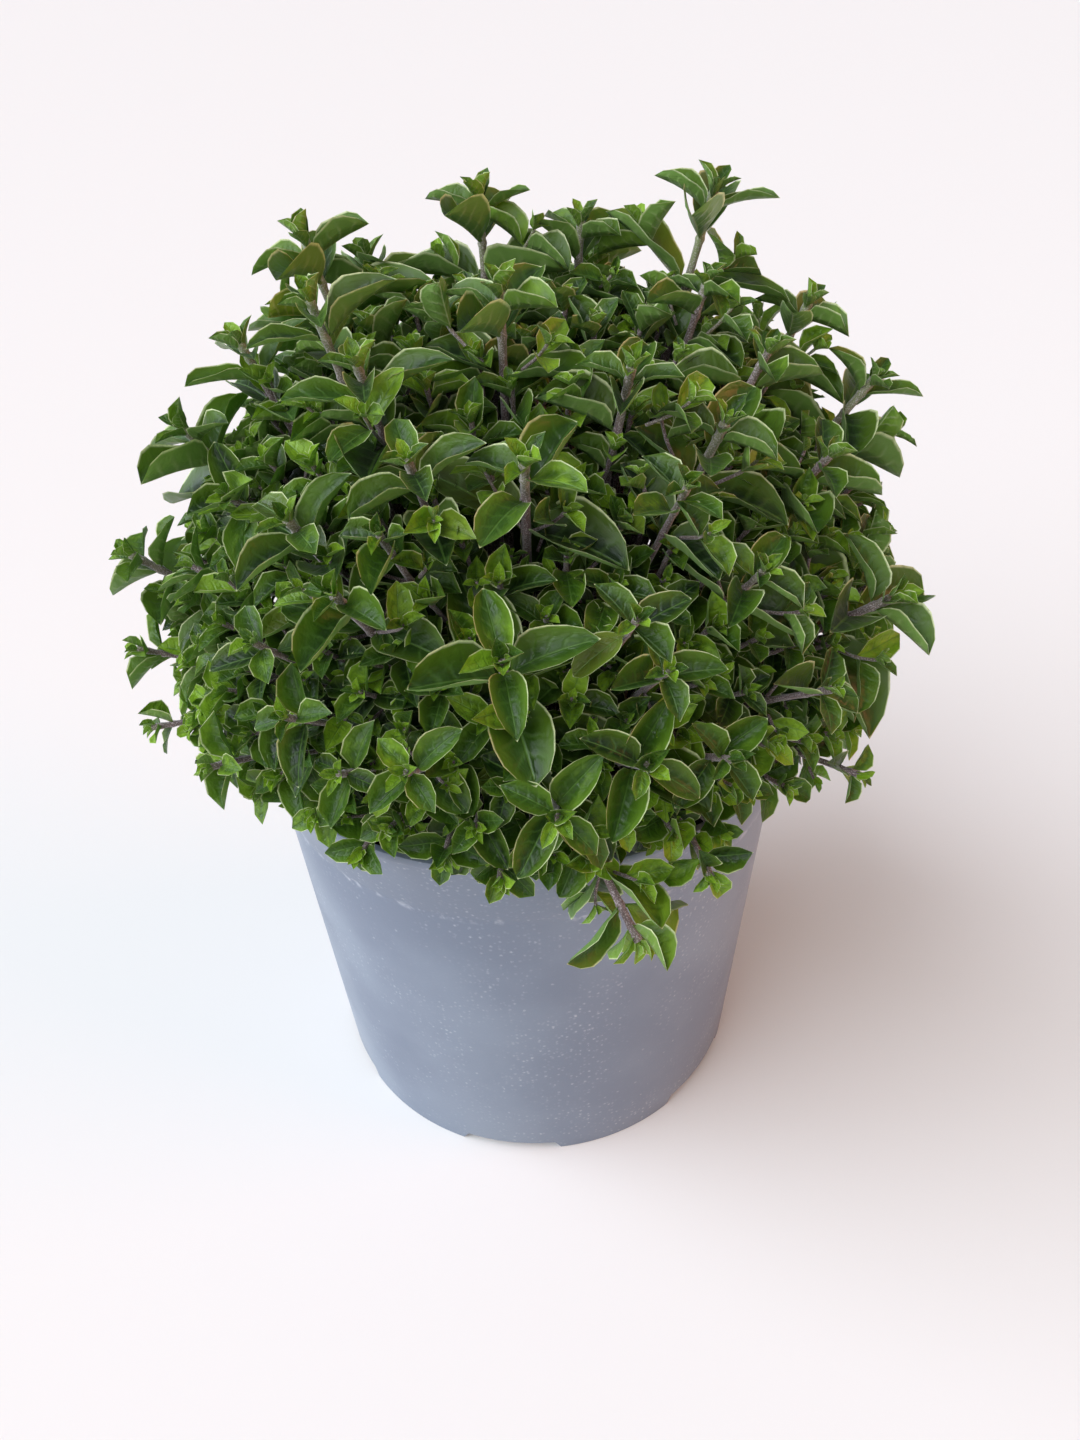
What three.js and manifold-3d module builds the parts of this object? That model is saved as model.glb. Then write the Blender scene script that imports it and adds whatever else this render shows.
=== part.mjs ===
// Oregano plant in a nursery pot. Millimetres, +Z up.
// The origin is the middle of the pot's underside, on the surface it stands on.
// -Y is the front, and azimuths are counted from the front towards +X.
import * as THREE from 'three';
import { mergeVertices } from 'three/addons/utils/BufferGeometryUtils.js';
import Module from 'manifold-3d';

const wasm = await Module();
wasm.setup();

// Pot: a thin tapered wall that flares into a collar, standing on a notched foot ring.
const POT_HEIGHT = 167;
const RIM_RADIUS = 95;
const COLLAR_HEIGHT = 136.5;
const COLLAR_RADIUS = 86.6;
const BASE_RADIUS = 79.3;
const WALL = 1.6;
const LIP_HEIGHT = 3;
const LIP_DEPTH = 0.8;
const FLOOR_BOTTOM = 4.2;
const FLOOR_TOP = 6.2;
const FOOT_WIDTH = 5;
const PAD_RADIUS = 20;
const POT_SIDES = 36;
const NOTCH_COUNT = 6;
const NOTCH_WIDTH = 36;
const NOTCH_HEIGHT = 3.6;
const NOTCH_TURN = -8.5;
const HOLE_COUNT = 6;
const HOLE_RADIUS = 5;
const HOLE_CIRCLE = 56;

// Potting mix: fills the pot to below the rim and is a little higher in the middle.
const SOIL_EDGE = 150;
const SOIL_MIDDLE = 155;
const GAP = 0.4;

// Mound of shoots: their tips lie round this point.
const MOUND = new THREE.Vector3(2, 0, 170);
const STEM_STEPS = 3;
const STEM_DEPTH = 12;
const STEM_SPACING = 8.5;
const ROOT_RADIUS = 74;

// Shoots on the front and the top: azimuth and elevation of the tip as seen from the middle
// of the mound in degrees, its distance from there, the length of its largest leaf, and how
// far its leaf pairs are turned round the stem in degrees.
const FRONT_SHOOTS = [
  [-105, 66, 145, 24, 85],
  [-159, 80, 142, 23, 70],
  [141, 77, 136, 20, 40],
  [106, 68, 152, 24, 70],
  [-41, 64, 132, 22, 5],
  [-6, 77, 134, 22, 60],
  [90, 67, 133, 18, 35],
  [72, 58, 130, 21, 0],
  [95, 54, 140, 20, 60],
  [89, 43, 138, 23, 85],
  [42, 55, 129, 22, 70],
  [28, 64, 132, 18, 75],
  [63, 45, 127, 19, 0],
  [-83, 44, 131, 24, 60],
  [-81, 57, 136, 20, 30],
  [-20, 55, 129, 18, 15],
  [1, 55, 129, 23, 55],
  [-80, 26, 130, 18, 0],
  [-39, 46, 127, 19, 35],
  [-27, 40, 126, 21, 55],
  [28, 50, 128, 17, 40],
  [-3, 35, 124, 24, 15],
  [15, 38, 125, 16, 40],
  [18, 32, 124, 16, 20],
  [58, 27, 127, 26, 40],
  [36, 39, 125, 17, 65],
  [-39, 32, 124, 16, 10],
  [-74, 15, 125, 14, 45],
  [-69, 5, 123, 11, 20],
  [-47, 12, 120, 14, 75],
  [-32, 25, 122, 15, 80],
  [-15, 22, 122, 14, 35],
  [3, 17, 121, 19, 55],
  [14, 22, 122, 21, 70],
  [25, 20, 122, 16, 50],
  [43, 22, 122, 16, 5],
  [50, 5, 120, 12, 0],
  [-24, 20, 121, 14, 60],
  [13, -5, 119, 21, 20],
  [22, 4, 120, 13, 35],
  [-59, 66, 142, 20, 20],
  [-22, 47, 127, 15, 75],
];

// Shoots on the back: rows of [elevation, count, distance, leaf length].
const BACK_ROWS = [
  [8, 5, 124, 16],
  [27, 5, 126, 20],
  [45, 4, 130, 21],
  [62, 2, 134, 22],
];
const BACK_FROM = 112;
const BACK_TO = 258;
const BACK_TURN = 25;

// A shoot whose tip is below the middle of the mound points this much further down.
const HANG = 42;

// Side shoots: spots spread evenly over the mound, each of which gets one if no leaf is near.
// It branches off the nearest main stem, at one of a few shares of its length below its tip,
// where it would be neither too short or long nor bend too sharply.
const SIDE_SPOTS = 180;
const SIDE_LOWEST = 0.16;
const SIDE_REACH = 108;
const SIDE_RISE = 18;
const SIDE_ROOM = 20;
const SIDE_LEAF = 19;
const SIDE_PAIRS = [1, 3];
const SIDE_THICKNESS = 1.8;
const SIDE_STEPS = 3;
const SIDE_SHORTEST = 24;
const SIDE_LONGEST = 74;
const SIDE_SHARPEST = 60;
const SIDE_PLACES = [0.3, 0.4, 0.5, 0.6];
const GOLDEN_ANGLE = 137.508;

// Leaf pairs down a shoot from its tip: how far below the tip in leaf lengths, size as a
// fraction of the largest leaf, and the angle between stem and leaf in degrees.
const LEAF_PAIRS = [
  [0.05, 0.36, 20],
  [0.18, 0.62, 36],
  [0.48, 0.86, 52],
  [1.0, 1, 64],
  [1.8, 0.98, 74],
];
const LEAF_WIDTH = 0.74;
const LEAF_THICKNESS = 1.6;
const PETIOLE = 0.14;
const ROOT_OFFSET = 0.29;
const BLADE_SIDES = [[0.31, 0.8], [0.54, 1], [0.8, 0.65]];
const SMALL_BLADE_SIDES = [[0.35, 0.9], [0.71, 0.86]];
const SMALL_BLADE = 18;
const BLADE_RIB = 0.48;
const LEAF_LIFT = 0.7;

// How strongly a blade is folded along its rib and curled down towards its tip.
const LEAF_SHAPES = [
  [0.42, 0.1], [0.6, 0.2], [0.78, 0.06], [0.7, 0.26],
  [1.0, 0.12], [0.5, 0.32], [0.34, 0.24], [0.88, 0.02],
];

// Places on a blade, along and across, that are kept clear of everything else.
const CLEAR_SPOTS = [
  [0.34, -0.5], [0.34, 0.5], [0.56, -0.5], [0.56, 0.5], [0.78, -0.38], [0.78, 0.38], [0.95, 0],
];
const CLEAR_SPOT_RADIUS = 0.16;
const CLEAR_HALF = 1;
const CLEAR_GAP = 0.4;
const BENDS = [0, -10, 10, -20, 20, -32, 32, 45];
const SHRINKS = [1, 0.84, 0.7];

const UP = new THREE.Vector3(0, 0, 1);
const radians = THREE.MathUtils.degToRad;

function makeRandom(seed) {
  let state = seed;
  return () => {
    state = (state * 16807) % 2147483647;
    return state / 2147483647;
  };
}

// ---- solids ----

function toSolid(geometry) {
  const bare = geometry.clone();
  bare.deleteAttribute('normal');
  bare.deleteAttribute('uv');
  const merged = mergeVertices(bare, 1e-4);
  const mesh = new wasm.Mesh({
    numProp: 3,
    vertProperties: new Float32Array(merged.attributes.position.array),
    triVerts: new Uint32Array(merged.index.array),
  });
  return new wasm.Manifold(mesh);
}

function toGeometry(solid) {
  const mesh = solid.getMesh();
  const geometry = new THREE.BufferGeometry();
  geometry.setAttribute('position', new THREE.BufferAttribute(mesh.vertProperties, 3));
  geometry.setIndex(new THREE.BufferAttribute(mesh.triVerts, 1));
  geometry.computeVertexNormals();
  return geometry;
}

// ---- pot and potting mix ----

function wallRadius(height) {
  if (height < COLLAR_HEIGHT) {
    return BASE_RADIUS + (COLLAR_RADIUS - BASE_RADIUS) * height / COLLAR_HEIGHT;
  }
  const rise = (height - COLLAR_HEIGHT) / (POT_HEIGHT - COLLAR_HEIGHT);
  return COLLAR_RADIUS + (RIM_RADIUS - LIP_DEPTH - COLLAR_RADIUS) * rise;
}

function lathe(points) {
  const profile = points.map(([radius, height]) => new THREE.Vector2(radius, height));
  const geometry = new THREE.LatheGeometry(profile, POT_SIDES);
  return geometry.rotateX(Math.PI / 2);
}

function potSolid() {
  const lipBottom = POT_HEIGHT - LIP_HEIGHT;
  const inner = (height) => wallRadius(height) - WALL;
  const body = toSolid(lathe([
    [0, FLOOR_TOP],
    [0, 0],
    [PAD_RADIUS, 0],
    [PAD_RADIUS + 2, FLOOR_BOTTOM],
    [BASE_RADIUS - FOOT_WIDTH - 2, FLOOR_BOTTOM],
    [BASE_RADIUS - FOOT_WIDTH, 0],
    [BASE_RADIUS - 0.8, 0],
    [wallRadius(1.5), 1.5],
    [COLLAR_RADIUS, COLLAR_HEIGHT],
    [wallRadius(lipBottom), lipBottom],
    [RIM_RADIUS, lipBottom + 0.6],
    [RIM_RADIUS, POT_HEIGHT - 0.8],
    [RIM_RADIUS - 0.8, POT_HEIGHT],
    [inner(POT_HEIGHT), POT_HEIGHT],
    [inner(COLLAR_HEIGHT), COLLAR_HEIGHT],
    [inner(FLOOR_TOP), FLOOR_TOP],
    [0, FLOOR_TOP],
  ]));
  let pot = body;
  for (let i = 0; i < NOTCH_COUNT; i += 1) {
    const turn = radians(NOTCH_TURN) + (i * 2 * Math.PI) / NOTCH_COUNT;
    const notch = new THREE.BoxGeometry(NOTCH_WIDTH, 2 * FOOT_WIDTH + 12, 2 * NOTCH_HEIGHT);
    notch.translate(0, -BASE_RADIUS, 0);
    notch.rotateZ(turn);
    pot = pot.subtract(toSolid(notch));
  }
  for (let i = 0; i < HOLE_COUNT; i += 1) {
    const turn = radians(NOTCH_TURN) + (i * 2 * Math.PI) / HOLE_COUNT;
    const hole = new THREE.CylinderGeometry(HOLE_RADIUS, HOLE_RADIUS, 4 * FLOOR_TOP, 8);
    hole.rotateX(Math.PI / 2);
    hole.translate(0, -HOLE_CIRCLE, 0);
    hole.rotateZ(turn);
    pot = pot.subtract(toSolid(hole));
  }
  return pot;
}

function soilSolid(stems) {
  const inner = (height) => wallRadius(height) - WALL - GAP;
  let soil = toSolid(lathe([
    [0, FLOOR_TOP + GAP],
    [inner(FLOOR_TOP), FLOOR_TOP + GAP],
    [inner(COLLAR_HEIGHT), COLLAR_HEIGHT],
    [inner(SOIL_EDGE), SOIL_EDGE],
    [ROOT_RADIUS, SOIL_MIDDLE],
    [0, SOIL_MIDDLE],
    [0, FLOOR_TOP + GAP],
  ]));
  for (const stem of stems) {
    const hole = stemGeometry(stem, stem.side + 2 * GAP);
    hole.translate(0, 0, -GAP);
    soil = soil.subtract(toSolid(hole));
  }
  return soil;
}

// ---- stems ----

function direction(azimuth, elevation) {
  const a = radians(azimuth);
  const e = radians(elevation);
  return new THREE.Vector3(Math.sin(a) * Math.cos(e), -Math.cos(a) * Math.cos(e), Math.sin(e));
}

function listShoots() {
  const shoots = [...FRONT_SHOOTS];
  BACK_ROWS.forEach(([elevation, count, distance, leaf], row) => {
    for (let i = 0; i < count; i += 1) {
      const share = (i + 0.35 + 0.3 * (row % 2)) / count;
      const azimuth = BACK_FROM + (BACK_TO - BACK_FROM) * share;
      shoots.push([azimuth, elevation + 4 * (i % 2), distance, leaf, BACK_TURN * i]);
    }
  });
  return shoots;
}

// A stem leaves the potting mix, rises, leans out and ends at the tip of its shoot.
function makeCurve(foot, tip, azimuth, elevation, sway) {
  const reach = tip.distanceTo(foot);
  const pitch = elevation < 0 ? elevation - HANG : elevation + (90 - elevation) * 0.25;
  const lean = direction(azimuth + 0.4 * sway.x, pitch);
  const rise = foot.clone().addScaledVector(UP, Math.max(0.4 * reach, 46));
  rise.x += 0.3 * sway.x;
  rise.y += 0.3 * sway.y;
  const bend = tip.clone().addScaledVector(lean, -0.34 * reach);
  bend.x += 0.3 * sway.y;
  bend.z += Math.max(0, 24 - elevation) * 0.35;
  return new THREE.CubicBezierCurve3(foot, rise, bend, tip);
}

function nearestFoot(feet, azimuth, radius) {
  let foot;
  for (let tries = 0; tries < 400; tries += 1) {
    const turn = azimuth + (tries % 2 ? 1 : -1) * tries * 1.7;
    const out = Math.min(radius * (1 - 0.0022 * tries), ROOT_RADIUS - 4);
    foot = direction(turn, 0).multiplyScalar(out);
    foot.z = SOIL_MIDDLE - STEM_DEPTH;
    if (feet.every((other) => other.distanceTo(foot) > STEM_SPACING)) {
      break;
    }
  }
  feet.push(foot);
  return foot;
}

function alongStem(stem, below) {
  const steps = stem.points.length - 1;
  const place = Math.max(0, 1 - below / stem.length) * steps;
  const step = Math.min(Math.floor(place), steps - 1);
  const from = stem.points[step];
  const to = stem.points[step + 1];
  const point = from.clone().lerp(to, place - step);
  return { point, heading: to.clone().sub(from).normalize() };
}

function stemBalls(stem) {
  const balls = [];
  const count = Math.ceil(stem.length / 2.5);
  for (let i = 0; i <= count; i += 1) {
    const { point } = alongStem(stem, (stem.length * i) / count);
    balls.push({ at: point, radius: 0.72 * stem.side + 0.3, half: 0, normal: null });
  }
  return balls;
}

function makeStems() {
  const stems = [];
  const feet = [];
  listShoots().forEach(([azimuth, elevation, distance, leaf, turn], index) => {
    const random = makeRandom(9001 + 37 * index);
    const tip = direction(azimuth, elevation).multiplyScalar(distance).add(MOUND);
    const foot = nearestFoot(feet, azimuth, 16 + 58 * Math.min(1, (90 - elevation) / 82));
    let stem;
    for (let tries = 0; tries < 40; tries += 1) {
      const sway = new THREE.Vector3(random() - 0.5, random() - 0.5, 0);
      sway.multiplyScalar(12 + 3 * tries);
      const curve = makeCurve(foot, tip, azimuth, elevation, sway);
      const side = leaf > 17 ? 2.6 : 2;
      stem = { curve, side, leaf, turn, length: curve.getLength() };
      stem.points = curve.getSpacedPoints(STEM_STEPS);
      stem.balls = stemBalls(stem);
      if (stem.balls.every((ball) => clearOfPot(ball)) && clearOfStems(stem.balls, stems)) {
        break;
      }
    }
    stems.push(stem);
  });
  return stems;
}

// The square section is turned so that its faces carry the leaf pairs.
function stemGeometry(stem, side) {
  const corners = [45, 135, 225, 315].map((corner) => {
    const angle = radians(corner + stem.turn);
    return new THREE.Vector2(Math.cos(angle), Math.sin(angle)).multiplyScalar(side * Math.SQRT1_2);
  });
  const square = new THREE.Shape(corners);
  const steps = stem.points.length - 1;
  return new THREE.ExtrudeGeometry(square, { extrudePath: stem.curve, steps });
}

// ---- clearance ----

// How far a disc or ball reaches to either side of its middle along a direction.
function reachAlong(spot, axis) {
  if (!spot.normal) {
    return spot.radius;
  }
  const lean = Math.abs(spot.normal.dot(axis));
  return spot.radius * Math.sqrt(Math.max(0, 1 - lean * lean)) + spot.half * lean;
}

function apart(one, other) {
  const between = other.at.clone().sub(one.at);
  const distance = between.length();
  if (distance > one.radius + other.radius + CLEAR_GAP) {
    return true;
  }
  const axes = [between.clone().divideScalar(Math.max(distance, 1e-6))];
  if (one.normal) {
    axes.push(one.normal);
  }
  if (other.normal) {
    axes.push(other.normal);
  }
  return axes.some((axis) => {
    const needed = reachAlong(one, axis) + reachAlong(other, axis) + CLEAR_GAP;
    return Math.abs(between.dot(axis)) > needed;
  });
}

function clearOfPot(spot) {
  const radius = Math.hypot(spot.at.x, spot.at.y);
  const height = spot.at.z;
  if (height < SOIL_MIDDLE + spot.radius + CLEAR_GAP && radius < COLLAR_RADIUS) {
    return spot.normal === null && radius < ROOT_RADIUS;
  }
  if (height > POT_HEIGHT + spot.radius + CLEAR_GAP) {
    return true;
  }
  const wall = wallRadius(Math.max(0, height));
  const outside = radius - reachAlongRadius(spot) > wall + LIP_DEPTH + CLEAR_GAP;
  const inside = radius + spot.radius < wall - WALL - CLEAR_GAP;
  return outside || inside;
}

function reachAlongRadius(spot) {
  return reachAlong(spot, new THREE.Vector3(spot.at.x, spot.at.y, 0).normalize());
}

function clearOfStems(spots, stems) {
  return stems.every((stem) => spots.every((spot) => stem.balls.every((ball) => apart(spot, ball))));
}

function clearOfLeaves(spots, middle, length, leaves) {
  return leaves.every((other) => {
    if (other.middle.distanceTo(middle) > 0.62 * (other.length + length)) {
      return true;
    }
    return spots.every((spot) => other.spots.every((ball) => apart(spot, ball)));
  });
}

// ---- leaves ----

// A point of a folded, curled blade: along from 0 at the stem to 1 at the tip, across from
// -1 to 1, and lift above the blade's middle surface. Folding makes a blade narrower.
function bladePoint(leaf, along, across, lift) {
  const halfWidth = 0.5 * leaf.length * LEAF_WIDTH / Math.sqrt(1 + leaf.fold * leaf.fold);
  const height = leaf.fold * Math.abs(across) * halfWidth - leaf.curl * along * along * leaf.length;
  return leaf.root.clone()
    .addScaledVector(leaf.axis, along * leaf.length * (1 + PETIOLE))
    .addScaledVector(leaf.side, across * halfWidth)
    .addScaledVector(leaf.normal, height + lift);
}

function bladeGeometry(leaf) {
  const sides = leaf.length < SMALL_BLADE ? SMALL_BLADE_SIDES : BLADE_SIDES;
  const right = sides.map(([along, across]) => bladePoint(leaf, along, -across, 0));
  const left = sides.map(([along, across]) => bladePoint(leaf, along, across, 0)).reverse();
  const rim = [bladePoint(leaf, 0, 0, 0), ...right, bladePoint(leaf, 1, 0, 0), ...left];
  const upper = bladePoint(leaf, BLADE_RIB, 0, 0.5 * LEAF_THICKNESS);
  const lower = bladePoint(leaf, BLADE_RIB, 0, -0.5 * LEAF_THICKNESS);
  const faces = rim.flatMap((corner, i) => {
    const next = (i + 1) % rim.length;
    return [[i, next, rim.length], [next, i, rim.length + 1]];
  });
  const geometry = new THREE.BufferGeometry().setFromPoints([...rim, upper, lower]);
  geometry.setIndex(faces.flat());
  return geometry;
}

function clearSpots(leaf) {
  return CLEAR_SPOTS.map(([along, across]) => {
    const tilt = Math.sign(across) * leaf.fold;
    const normal = leaf.normal.clone().addScaledVector(leaf.side, -tilt);
    normal.addScaledVector(leaf.axis, 2 * leaf.curl * along).normalize();
    return {
      at: bladePoint(leaf, along, across, 0),
      radius: CLEAR_SPOT_RADIUS * leaf.length,
      half: CLEAR_HALF,
      normal,
    };
  });
}

// A leaf whose upper side would face down and inwards is twisted over on its stalk.
function makeLeaf(stem, below, length, spread, turn, shape) {
  const { point, heading } = alongStem(stem, below);
  const outward = new THREE.Vector3(Math.cos(radians(turn)), Math.sin(radians(turn)), 0);
  outward.applyQuaternion(new THREE.Quaternion().setFromUnitVectors(UP, heading));
  const axis = heading.clone().multiplyScalar(Math.cos(radians(spread)));
  axis.addScaledVector(outward, Math.sin(radians(spread)));
  const normal = heading.clone().multiplyScalar(Math.sin(radians(spread)));
  normal.addScaledVector(outward, -Math.cos(radians(spread)));
  normal.addScaledVector(UP, LEAF_LIFT);
  normal.addScaledVector(axis, -normal.dot(axis)).normalize();
  const light = point.clone().sub(MOUND).normalize().add(UP);
  if (normal.dot(light) < 0) {
    normal.negate();
  }
  const side = new THREE.Vector3().crossVectors(normal, axis);
  const root = point.addScaledVector(outward, ROOT_OFFSET * stem.side);
  const [fold, curl] = LEAF_SHAPES[shape];
  const leaf = { root, axis, normal, side, length, fold, curl };
  leaf.middle = bladePoint(leaf, 0.6, 0, 0);
  return leaf;
}

function growLeaves(stem, [first, last], random, stems, leaves) {
  const others = stems.filter((other) => other !== stem);
  stem.leaves = [];
  LEAF_PAIRS.slice(first, last).forEach(([below, size, spread], level) => {
    for (const half of [0, 180]) {
      const turn = stem.turn + 90 * level + half + 14 * (random() - 0.5);
      const length = stem.leaf * size * (0.92 + 0.16 * random());
      const shape = Math.floor(random() * LEAF_SHAPES.length);
      const found = placeLeaf(others, leaves, (bend, shrink) => makeLeaf(
        stem, below * stem.leaf + 1.6, length * shrink, spread + bend, turn, shape,
      ));
      if (found) {
        stem.leaves.push(found);
        leaves.push(found);
      }
    }
  });
}

// Bends a leaf up or down, then makes it smaller, until it clears everything round it.
function placeLeaf(others, leaves, make) {
  for (const shrink of SHRINKS) {
    for (const bend of BENDS) {
      const leaf = make(bend, shrink);
      leaf.spots = clearSpots(leaf);
      if (
        leaf.spots.every((spot) => clearOfPot(spot)) &&
        clearOfLeaves(leaf.spots, leaf.middle, leaf.length, leaves) &&
        clearOfStems(leaf.spots, others)
      ) {
        return leaf;
      }
    }
  }
  return null;
}

// ---- side shoots ----

// A side shoot from a place on a main stem to a tip, or null where something is in its way.
function makeSideShoot(parent, below, tip, outward, turn, stems, leaves) {
  const { point, heading } = alongStem(parent, below);
  const towards = tip.clone().sub(point);
  const reach = towards.length();
  towards.divideScalar(reach);
  const straight = towards.dot(heading) > Math.cos(radians(SIDE_SHARPEST));
  if (reach < SIDE_SHORTEST || reach > SIDE_LONGEST || !straight) {
    return null;
  }
  const rise = point.clone().addScaledVector(heading.clone().add(towards), 0.2 * reach);
  const bend = tip.clone().addScaledVector(outward, -0.35 * reach);
  const curve = new THREE.CubicBezierCurve3(point, rise, bend, tip);
  const shoot = { curve, side: SIDE_THICKNESS, leaf: SIDE_LEAF, turn, length: curve.getLength() };
  shoot.points = curve.getSpacedPoints(SIDE_STEPS);
  shoot.balls = stemBalls(shoot);
  const others = stems.filter((other) => other !== parent);
  const middle = point.clone().lerp(tip, 0.5);
  const clear = (
    shoot.balls.every((ball) => clearOfPot(ball)) &&
    clearOfStems(shoot.balls, others) &&
    clearOfLeaves(shoot.balls, middle, reach, leaves)
  );
  return clear ? shoot : null;
}

// Tries the places on the main stems from the nearest to the furthest.
function nearestSideShoot(mainStems, tip, outward, turn, stems, leaves) {
  const places = mainStems.flatMap((parent) => SIDE_PLACES.map((share) => {
    const below = share * parent.length;
    return { parent, below, reach: alongStem(parent, below).point.distanceTo(tip) };
  }));
  places.sort((one, other) => one.reach - other.reach);
  for (const { parent, below } of places) {
    const shoot = makeSideShoot(parent, below, tip, outward, turn, stems, leaves);
    if (shoot) {
      parent.sideShoots.push(shoot);
      return shoot;
    }
  }
  return null;
}

function growSideShoots(mainStems, leaves) {
  const stems = [...mainStems];
  for (let i = 0; i < SIDE_SPOTS; i += 1) {
    const rise = 1 - (1 - SIDE_LOWEST) * (i + 0.5) / SIDE_SPOTS;
    const elevation = THREE.MathUtils.radToDeg(Math.asin(rise));
    const outward = direction(i * GOLDEN_ANGLE, elevation);
    const tip = MOUND.clone().addScaledVector(outward, SIDE_REACH + SIDE_RISE * rise);
    if (leaves.every((leaf) => leaf.middle.distanceTo(tip) > SIDE_ROOM)) {
      const random = makeRandom(6301 + 71 * i);
      const shoot = nearestSideShoot(mainStems, tip, outward, 90 * random(), stems, leaves);
      if (shoot) {
        stems.push(shoot);
        growLeaves(shoot, SIDE_PAIRS, random, stems, leaves);
      }
    }
  }
}

// ---- the plant ----

function material(color, roughness) {
  return new THREE.MeshStandardMaterial({ color, roughness, metalness: 0 });
}

const plant = new THREE.Group();

function addMesh(name, solid, color, roughness) {
  const mesh = new THREE.Mesh(toGeometry(solid), material(color, roughness));
  mesh.name = name;
  plant.add(mesh);
}

const stems = makeStems();
const leaves = [];
stems.forEach((stem, index) => {
  const pairs = stem.leaf > 22 ? 5 : stem.leaf > 16 ? 4 : 3;
  stem.sideShoots = [];
  growLeaves(stem, [0, pairs], makeRandom(401 + 53 * index), stems, leaves);
});
growSideShoots(stems, leaves);

addMesh('pot', potSolid(), 0x6d737b, 0.55);
addMesh('soil', soilSolid(stems), 0x2e241c, 0.95);
stems.forEach((stem, index) => {
  let solid = toSolid(stemGeometry(stem, stem.side));
  for (const sideShoot of stem.sideShoots) {
    solid = solid.add(toSolid(stemGeometry(sideShoot, sideShoot.side)));
  }
  for (const leaf of [stem, ...stem.sideShoots].flatMap((shoot) => shoot.leaves)) {
    solid = solid.add(toSolid(bladeGeometry(leaf)));
  }
  const number = String(index + 1).padStart(2, '0');
  addMesh(`leafy_stem_${number}`, solid, index % 3 ? 0x4f7d2c : 0x5f8f35, 0.6);
});

export default plant;
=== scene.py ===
import math

import bmesh
import bpy
import numpy as np
from mathutils import Matrix, Vector, noise


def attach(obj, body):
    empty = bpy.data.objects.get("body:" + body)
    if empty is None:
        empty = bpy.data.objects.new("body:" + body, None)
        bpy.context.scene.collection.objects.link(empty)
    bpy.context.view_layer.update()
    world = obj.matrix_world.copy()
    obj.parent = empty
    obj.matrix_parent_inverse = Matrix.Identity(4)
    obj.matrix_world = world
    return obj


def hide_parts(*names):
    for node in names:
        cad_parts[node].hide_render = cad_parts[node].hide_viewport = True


# Oregano in its nursery pot. Growth is worked out in millimetres, meshes are in metres.
# -Y is the front and azimuths turn from the front towards +X.

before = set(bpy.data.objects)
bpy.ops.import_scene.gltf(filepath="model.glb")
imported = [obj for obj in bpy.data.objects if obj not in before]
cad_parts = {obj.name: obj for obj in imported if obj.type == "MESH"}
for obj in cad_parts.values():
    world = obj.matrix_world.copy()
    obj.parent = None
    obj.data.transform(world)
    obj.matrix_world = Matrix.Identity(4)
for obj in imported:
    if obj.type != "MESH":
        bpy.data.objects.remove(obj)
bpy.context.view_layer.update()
mm = 0.001
print("frame loaded:", len(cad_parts), "nodes")

# ---- growth rule, the same as the solids follow ----

potForm = {
    "height": 167,
    "rimRadius": 95,
    "collarHeight": 136.5,
    "collarRadius": 86.6,
    "baseRadius": 79.3,
    "wall": 1.6,
    "lipDepth": 0.8,
    "lipHeight": 3,
    "floorBottom": 4.2,
    "floorTop": 6.2,
    "footWidth": 5,
    "padRadius": 20,
    "notchCount": 6,
    "notchWidth": 36,
    "notchHeight": 3.6,
    "notchTurn": -8.5,
    "holeRadius": 5,
    "holeCircle": 56,
}

soilForm = {"edge": 150, "middle": 155, "gap": 0.4, "rootRadius": 74}

growth = {
    "mound": (2, 0, 170),
    "stemDepth": 12,
    "thickFrom": 17,
    "stemSpacing": 8.5,
    "hang": 42,
    "pitchShare": 0.25,
    "riseShare": 0.4,
    "riseLeast": 46,
    "swayShare": 0.3,
    "bendShare": 0.34,
    "archBelow": 24,
    "archShare": 0.35,
    "leafWidth": 0.74,
    "petiole": 0.14,
    "leafLift": 0.7,
    "leafFrom": 1.6,
    "rootOffset": 0.29,
    "spotRadius": 0.16,
    "spotHalf": 1,
    "gap": 0.4,
    "bends": [0, -10, 10, -20, 20, -32, 32, 45],
    "shrinks": [1, 0.84, 0.7],
}

# azimuth, elevation, distance from the mound's middle, largest leaf and turn of the leaf pairs
frontShoots = [
    (-105, 66, 145, 24, 85), (-159, 80, 142, 23, 70), (141, 77, 136, 20, 40),
    (106, 68, 152, 24, 70), (-41, 64, 132, 22, 5), (-6, 77, 134, 22, 60),
    (90, 67, 133, 18, 35), (72, 58, 130, 21, 0), (95, 54, 140, 20, 60),
    (89, 43, 138, 23, 85), (42, 55, 129, 22, 70), (28, 64, 132, 18, 75),
    (63, 45, 127, 19, 0), (-83, 44, 131, 24, 60), (-81, 57, 136, 20, 30),
    (-20, 55, 129, 18, 15), (1, 55, 129, 23, 55), (-80, 26, 130, 18, 0),
    (-39, 46, 127, 19, 35), (-27, 40, 126, 21, 55), (28, 50, 128, 17, 40),
    (-3, 35, 124, 24, 15), (15, 38, 125, 16, 40), (18, 32, 124, 16, 20),
    (58, 27, 127, 26, 40), (36, 39, 125, 17, 65), (-39, 32, 124, 16, 10),
    (-74, 15, 125, 14, 45), (-69, 5, 123, 11, 20), (-47, 12, 120, 14, 75),
    (-32, 25, 122, 15, 80), (-15, 22, 122, 14, 35), (3, 17, 121, 19, 55),
    (14, 22, 122, 21, 70), (25, 20, 122, 16, 50), (43, 22, 122, 16, 5),
    (50, 5, 120, 12, 0), (-24, 20, 121, 14, 60), (13, -5, 119, 21, 20),
    (22, 4, 120, 13, 35), (-59, 66, 142, 20, 20), (-22, 47, 127, 15, 75),
]
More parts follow.
